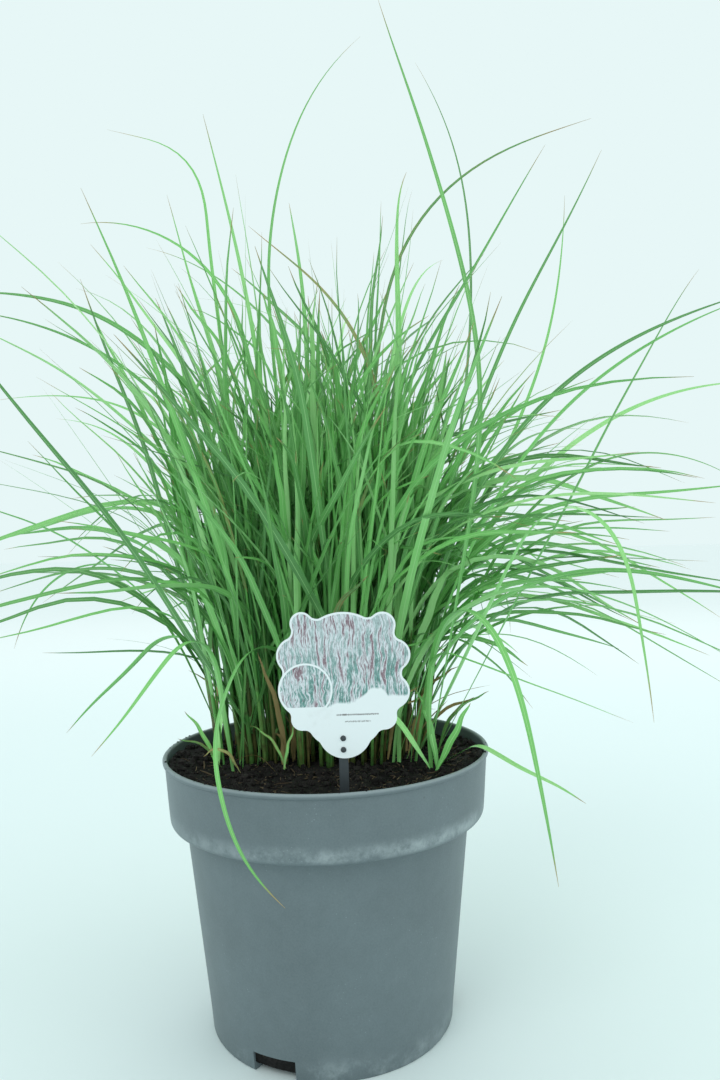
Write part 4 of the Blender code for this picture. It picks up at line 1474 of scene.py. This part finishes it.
def clump_rows(settings):
    """One row per leaf on a culm, and the place on the culm where it starts.

    Leaves stand on two sides of their culm in turn. Those lower on the outside arch out, those
    near the top go on upward. The long spreading leaves come after them.
    """
    rng = np.random.default_rng(settings.seed + 3)
    table = culm_table(settings)
    each = settings.leaves_per_culm
    culm = np.repeat(np.arange(len(table["angle"])), each)
    rank = np.tile(np.arange(each), len(table["angle"]))
    count = len(culm)
    share = (rank + rng.random(count)) / each
    lift = table["height"][culm] * (0.06 + 0.94 * share)
    chosen = {name: column[culm] for name, column in table.items()}
    start = culm_line(chosen, lift[:, None])[:, 0]
    plane = rng.uniform(0.0, 360.0, len(table["angle"]))[culm]
    two_ranked = plane + np.where(rank % 2 == 0, 0.0, 180.0)
    outward = np.degrees(chosen["angle"]) + rng.normal(0.0, 38.0, count)
    outer = chosen["edge"]
    low = np.clip(1.2 - lift / 0.20, 0.12, 1.0)
    heading = np.where(rng.random(count) < 0.2 + 0.5 * outer * low, outward, two_ranked)
    lean_root = np.degrees(chosen["lean"]) * 0.6 + np.abs(rng.normal(0.0, 14.0, count))
    arch = rng.random(count) ** 1.3
    to_right = 1.0 + 0.2 * np.cos(np.radians(heading))
    lean_end = lean_root + 6.0 + 105.0 * arch * (0.25 + 0.75 * outer) * low * to_right
    lean_end += np.where(rng.random(count) < 0.2, rng.uniform(10.0, 60.0, count), 0.0)
    top = SOIL_LEVEL + settings.clump_height * rng.triangular(0.40, 0.68, 1.35, count)
    length = np.clip((top - start[:, 2]) / MM, 95.0, 330.0) * rng.uniform(0.85, 1.1, count)
    columns = [start[:, 0], start[:, 1], heading, lean_root, lean_end, length]
    columns += [rng.uniform(0.40, 0.85, count), rng.uniform(0.3, 1.2, count)]
    columns += [settings.leaf_half_width / MM * rng.uniform(0.35, 1.2, count)]
    columns += [rng.normal(0.0, 18.0, count)]
    old = rng.random(count) < 0.03
    columns += [np.where(old, rng.uniform(0.2, 0.42, count), rng.uniform(0.0, 0.18, count))]
    wide, wide_start = spreading_rows(settings)
    rows = np.concatenate([np.stack(columns, -1), wide])
    return keep_in_room(rows, np.concatenate([start, wide_start]), settings)


def spreading_rows(settings):
    """Long leaves from the outside of the crown that arch over to either side and to the back."""
    rng = np.random.default_rng(settings.seed + 6)
    count = settings.spreading_leaves
    sides = rng.choice([0.0, 180.0, 90.0, 270.0], count, p=[0.70, 0.08, 0.16, 0.06])
    heading = sides + rng.normal(0.0, 26.0, count)
    place = np.radians(heading + rng.normal(0.0, 25.0, count))
    reach = crown_size(settings) * rng.uniform(0.45, 1.0, (count, 1))
    root = CROWN_MIDDLE + reach * directions(place)
    start = np.concatenate([root, SOIL_LEVEL + rng.uniform(0.005, 0.11, (count, 1))], -1)
    columns = [start[:, 0], start[:, 1], heading, rng.uniform(8.0, 40.0, count)]
    columns += [rng.uniform(78.0, 125.0, count), rng.uniform(190.0, 330.0, count)]
    columns += [rng.uniform(0.3, 0.6, count), rng.uniform(0.5, 1.1, count)]
    columns += [settings.leaf_half_width / MM * rng.uniform(0.6, 1.2, count)]
    columns += [rng.normal(0.0, 14.0, count), rng.uniform(0.0, 0.25, count) ** 1.5]
    return np.stack(columns, -1), start


def keep_in_room(rows, start, settings):
    """Shorten leaves that pass the model's box by more than the room allowed, and drop those
    that still pass it, hide the label or the pot's front, or run through the pot or the soil."""
    low = np.array(CAD_BOUNDS[0]) - settings.edge_room
    high = np.array(CAD_BOUNDS[1]) + settings.edge_room
    for _ in range(ROOM_TRIES):
        points, _ = blade_paths(rows, ROOM_STEPS, start)
        past = ((points < low) | (points > high)).any((1, 2))
        rows[past, LENGTH_COLUMN] *= ROOM_SHORTENING
    points, _ = blade_paths(rows, ROOM_STEPS, start)
    past = ((points < low) | (points > high)).any((1, 2))
    x, y, z = points[..., 0], points[..., 1], points[..., 2]
    off_label = np.abs(x - PLATE_X)
    before_pot = (y < PLATE_FRONT_Y + 0.004) & (off_label < FRONT_CLEAR_WIDTH)
    before_pot &= z < FRONT_CLEAR_HEIGHT
    through_label = (y < PLATE_FRONT_Y + 0.006) & (off_label < LABEL_CLEAR_WIDTH)
    through_label &= z < LABEL_CLEAR_HEIGHT
    radius = np.hypot(x, y)
    inner, outer = RIM_CLEAR_RADII
    through_pot = (z < RIM_CLEAR_HEIGHT) & (radius < outer) & (radius > inner)
    through_soil = (z < SOIL_LEVEL) & (radius <= inner)
    keep = ~(past | (before_pot | through_label | through_pot | through_soil).any(1))
    return rows[keep], start[keep]


class POTTEDGRASS_OT_clump_leaves(bpy.types.Operator):
    """Build the mass of leaves on the culms, in pieces of a few hundred leaves"""

    bl_idname = "potted_grass.clump_leaves"
    bl_label = "Clump Leaves"

    def execute(self, context):
        settings = context.scene.potted_grass.grass
        rng = np.random.default_rng(settings.seed + 4)
        rows, start = clump_rows(settings)
        material = leaf_material("clump_leaf", settings)
        groups = np.array_split(np.arange(len(rows)), 2)
        for number, members in enumerate(groups, 1):
            shape = blade_surface(rows[members], 16, PLAIN_SECTION, rng, (10.0, 80.0), start[members])
            leaves = new_mesh_object(f"clump_leaves_{number}", *shape, sharp_angle=40.0)
            finish_piece(leaves, material)
        return {"FINISHED"}


class POTTEDGRASS_OT_shoots(bpy.types.Operator):
    """Build the young shoots and old dry sheaths close to the soil"""

    bl_idname = "potted_grass.shoots"
    bl_label = "Shoots and Old Sheaths"

    def execute(self, context):
        settings = context.scene.potted_grass.grass
        rng = np.random.default_rng(settings.seed + 5)
        shape = blade_surface(SHOOTS, 20, FINE_SECTION, rng, (20.0, 60.0), face_front=True)
        shoots = new_mesh_object("young_shoots", *shape, sharp_angle=40.0)
        finish_piece(shoots, leaf_material("young_shoot", settings, 1.35))
        count = OLD_SHEATHS
        angle = rng.uniform(0.0, 2.0 * np.pi, count)
        reach = crown_size(settings) * np.sqrt(rng.random((count, 1)))
        root = CROWN_MIDDLE + reach * directions(angle)
        columns = [root[:, 0] / MM, root[:, 1] / MM]
        columns.append(np.degrees(angle) + rng.normal(0.0, 50.0, count))
        columns += [rng.uniform(0.0, 20.0, count), rng.uniform(10.0, 95.0, count)]
        columns += [rng.uniform(28.0, 95.0, count), rng.uniform(0.3, 0.8, count)]
        columns += [rng.uniform(0.4, 0.9, count), rng.uniform(1.2, 2.6, count)]
        columns += [rng.normal(0.0, 30.0, count), rng.uniform(0.5, 1.0, count)]
        rows = np.stack(columns, -1)
        rows, start = keep_in_room(rows, soil_starts(rows), settings)
        shape = blade_surface(rows, 10, PLAIN_SECTION, rng, (0.0, 80.0), start)
        sheaths = new_mesh_object("old_sheaths", *shape, sharp_angle=40.0)
        finish_piece(sheaths, leaf_material("old_sheath", settings, 0.6, 0.15))
        return {"FINISHED"}


class POTTEDGRASS_OT_stage(bpy.types.Operator):
    """Set the floor, the soft light and the camera"""

    bl_idname = "potted_grass.stage"
    bl_label = "Stage"

    def execute(self, context):
        settings = context.scene.potted_grass.stage
        span = np.linspace(-FLOOR_REACH, FLOOR_REACH, FLOOR_LINES)
        x, y = np.meshgrid(span, span, indexing="ij")
        points = np.stack([x, y, np.zeros_like(x)], -1).reshape(-1, 3)
        quads = grid_quads(FLOOR_LINES, FLOOR_LINES, wrap_columns=False)[..., ::-1].reshape(-1, 4)
        floor = new_mesh_object("stage_floor", points, [quads])
        material, tree, shader, where = new_material("pale_floor", 0.9, 0.1)
        cloud = noise(tree, where, 1.5, 3.0)
        plain = settings.floor_colour
        colour = blend(tree, cloud, tint(plain, 0.985), plain)
        # Painted light: the floor turns paler with distance from the middle, standing in for the lamp light
        # that only reaches the floor near the pot.
        length = add_node(tree, "ShaderNodeVectorMath", {0: where}, operation="LENGTH")
        far = remap(tree, length.outputs["Value"], 0.6, 3.0)
        colour = blend(tree, far, colour, (0.96, 0.98, 0.98))
        tree.links.new(colour, shader.inputs["Base Color"])
        floor.data.materials.append(material)
        world = bpy.data.worlds.new("soft_studio")
        world.use_nodes = True
        background = world.node_tree.nodes["Background"]
        background.inputs["Color"].default_value = (*settings.sky_colour, 1.0)
        background.inputs["Strength"].default_value = settings.sky_strength
        context.scene.world = world
        for name, place, aim, size, share in LAMPS:
            add_lamp(name, place, (0.0, 0.0, aim), size, settings.lamp_power * share)
        add_camera(context.scene)
        context.scene.view_settings.view_transform = "Standard"
        return {"FINISHED"}


def look_axes(yaw, down, roll):
    """Right, up and forward directions of a camera turned by the three angles in degrees."""
    yaw, down, roll = (math.radians(angle) for angle in (yaw, down, roll))
    ahead = np.array([math.sin(yaw), math.cos(yaw)]) * math.cos(down)
    forward = np.append(ahead, -math.sin(down))
    level = np.array([math.cos(yaw), -math.sin(yaw), 0.0])
    above = np.cross(level, forward)
    right = math.cos(roll) * level + math.sin(roll) * above
    up = -math.sin(roll) * level + math.cos(roll) * above
    return right, up, forward


def looking_matrix(right, up, forward, place):
    """World matrix of an object that looks along forward with its own -Z."""
    matrix = np.eye(4)
    matrix[:3, :3] = np.stack([right, up, -forward], -1)
    matrix[:3, 3] = place
    return Matrix(matrix.tolist())


def add_lamp(name, place, aim, size, power):
    """Add a square soft lamp that points at a place."""
    data = bpy.data.lights.new(name, "AREA")
    data.size = size
    data.energy = power
    lamp = link_object(name, data)
    forward = np.subtract(aim, place)
    forward = forward / np.linalg.norm(forward)
    right = np.cross(forward, (0.0, 0.0, 1.0))
    right = right / np.linalg.norm(right)
    lamp.matrix_world = looking_matrix(right, np.cross(right, forward), forward, place)


def add_camera(scene):
    """Add the camera at its fixed place and turn."""
    data = bpy.data.cameras.new("camera")
    data.lens = CAMERA_LENS
    data.sensor_width = CAMERA_SENSOR
    camera = link_object("camera", data)
    right, up, forward = look_axes(CAMERA_YAW, CAMERA_DOWN, CAMERA_ROLL)
    camera.matrix_world = looking_matrix(right, up, forward, CAMERA_PLACE)
    scene.camera = camera


class POTTEDGRASS_PT_panel(bpy.types.Panel):
    """List the pieces and their settings"""

    bl_idname = "POTTEDGRASS_PT_panel"
    bl_label = "Potted Grass"
    bl_space_type = "VIEW_3D"
    bl_region_type = "UI"
    bl_category = "Potted Grass"

    def draw(self, context):
        layout = self.layout
        settings = context.scene.potted_grass
        for operator in OPERATORS:
            layout.operator(operator.bl_idname)
        for group in (settings.pot, settings.label, settings.grass, settings.stage):
            box = layout.box()
            for name in group.bl_rna.properties.keys():
                if name not in ("rna_type", "name"):
                    box.prop(group, name)


OPERATORS = (
    POTTEDGRASS_OT_pot,
    POTTEDGRASS_OT_soil,
    POTTEDGRASS_OT_crumbs,
    POTTEDGRASS_OT_fibres,
    POTTEDGRASS_OT_plate,
    POTTEDGRASS_OT_stake,
    POTTEDGRASS_OT_culms,
    POTTEDGRASS_OT_main_leaves,
    POTTEDGRASS_OT_clump_leaves,
    POTTEDGRASS_OT_shoots,
    POTTEDGRASS_OT_stage,
)
CLASSES = (
    PotSettings,
    LabelSettings,
    GrassSettings,
    StageSettings,
    PottedGrassSettings,
    *OPERATORS,
    POTTEDGRASS_PT_panel,
)


def register():
    """Register the classes and the scene's settings."""
    for cls in CLASSES:
        bpy.utils.register_class(cls)
    bpy.types.Scene.potted_grass = PointerProperty(type=PottedGrassSettings)


def unregister():
    """Remove the scene's settings and the classes."""
    del bpy.types.Scene.potted_grass
    for cls in reversed(CLASSES):
        bpy.utils.unregister_class(cls)


def main():
    """Build every piece in order."""
    register()
    bpy.ops.potted_grass.pot()
    bpy.ops.potted_grass.soil()
    bpy.ops.potted_grass.crumbs()
    bpy.ops.potted_grass.fibres()
    bpy.ops.potted_grass.plate()
    bpy.ops.potted_grass.stake()
    bpy.ops.potted_grass.culms()
    bpy.ops.potted_grass.main_leaves()
    bpy.ops.potted_grass.clump_leaves()
    bpy.ops.potted_grass.shoots()
    bpy.ops.potted_grass.stage()


if __name__ == "__main__":
    main()
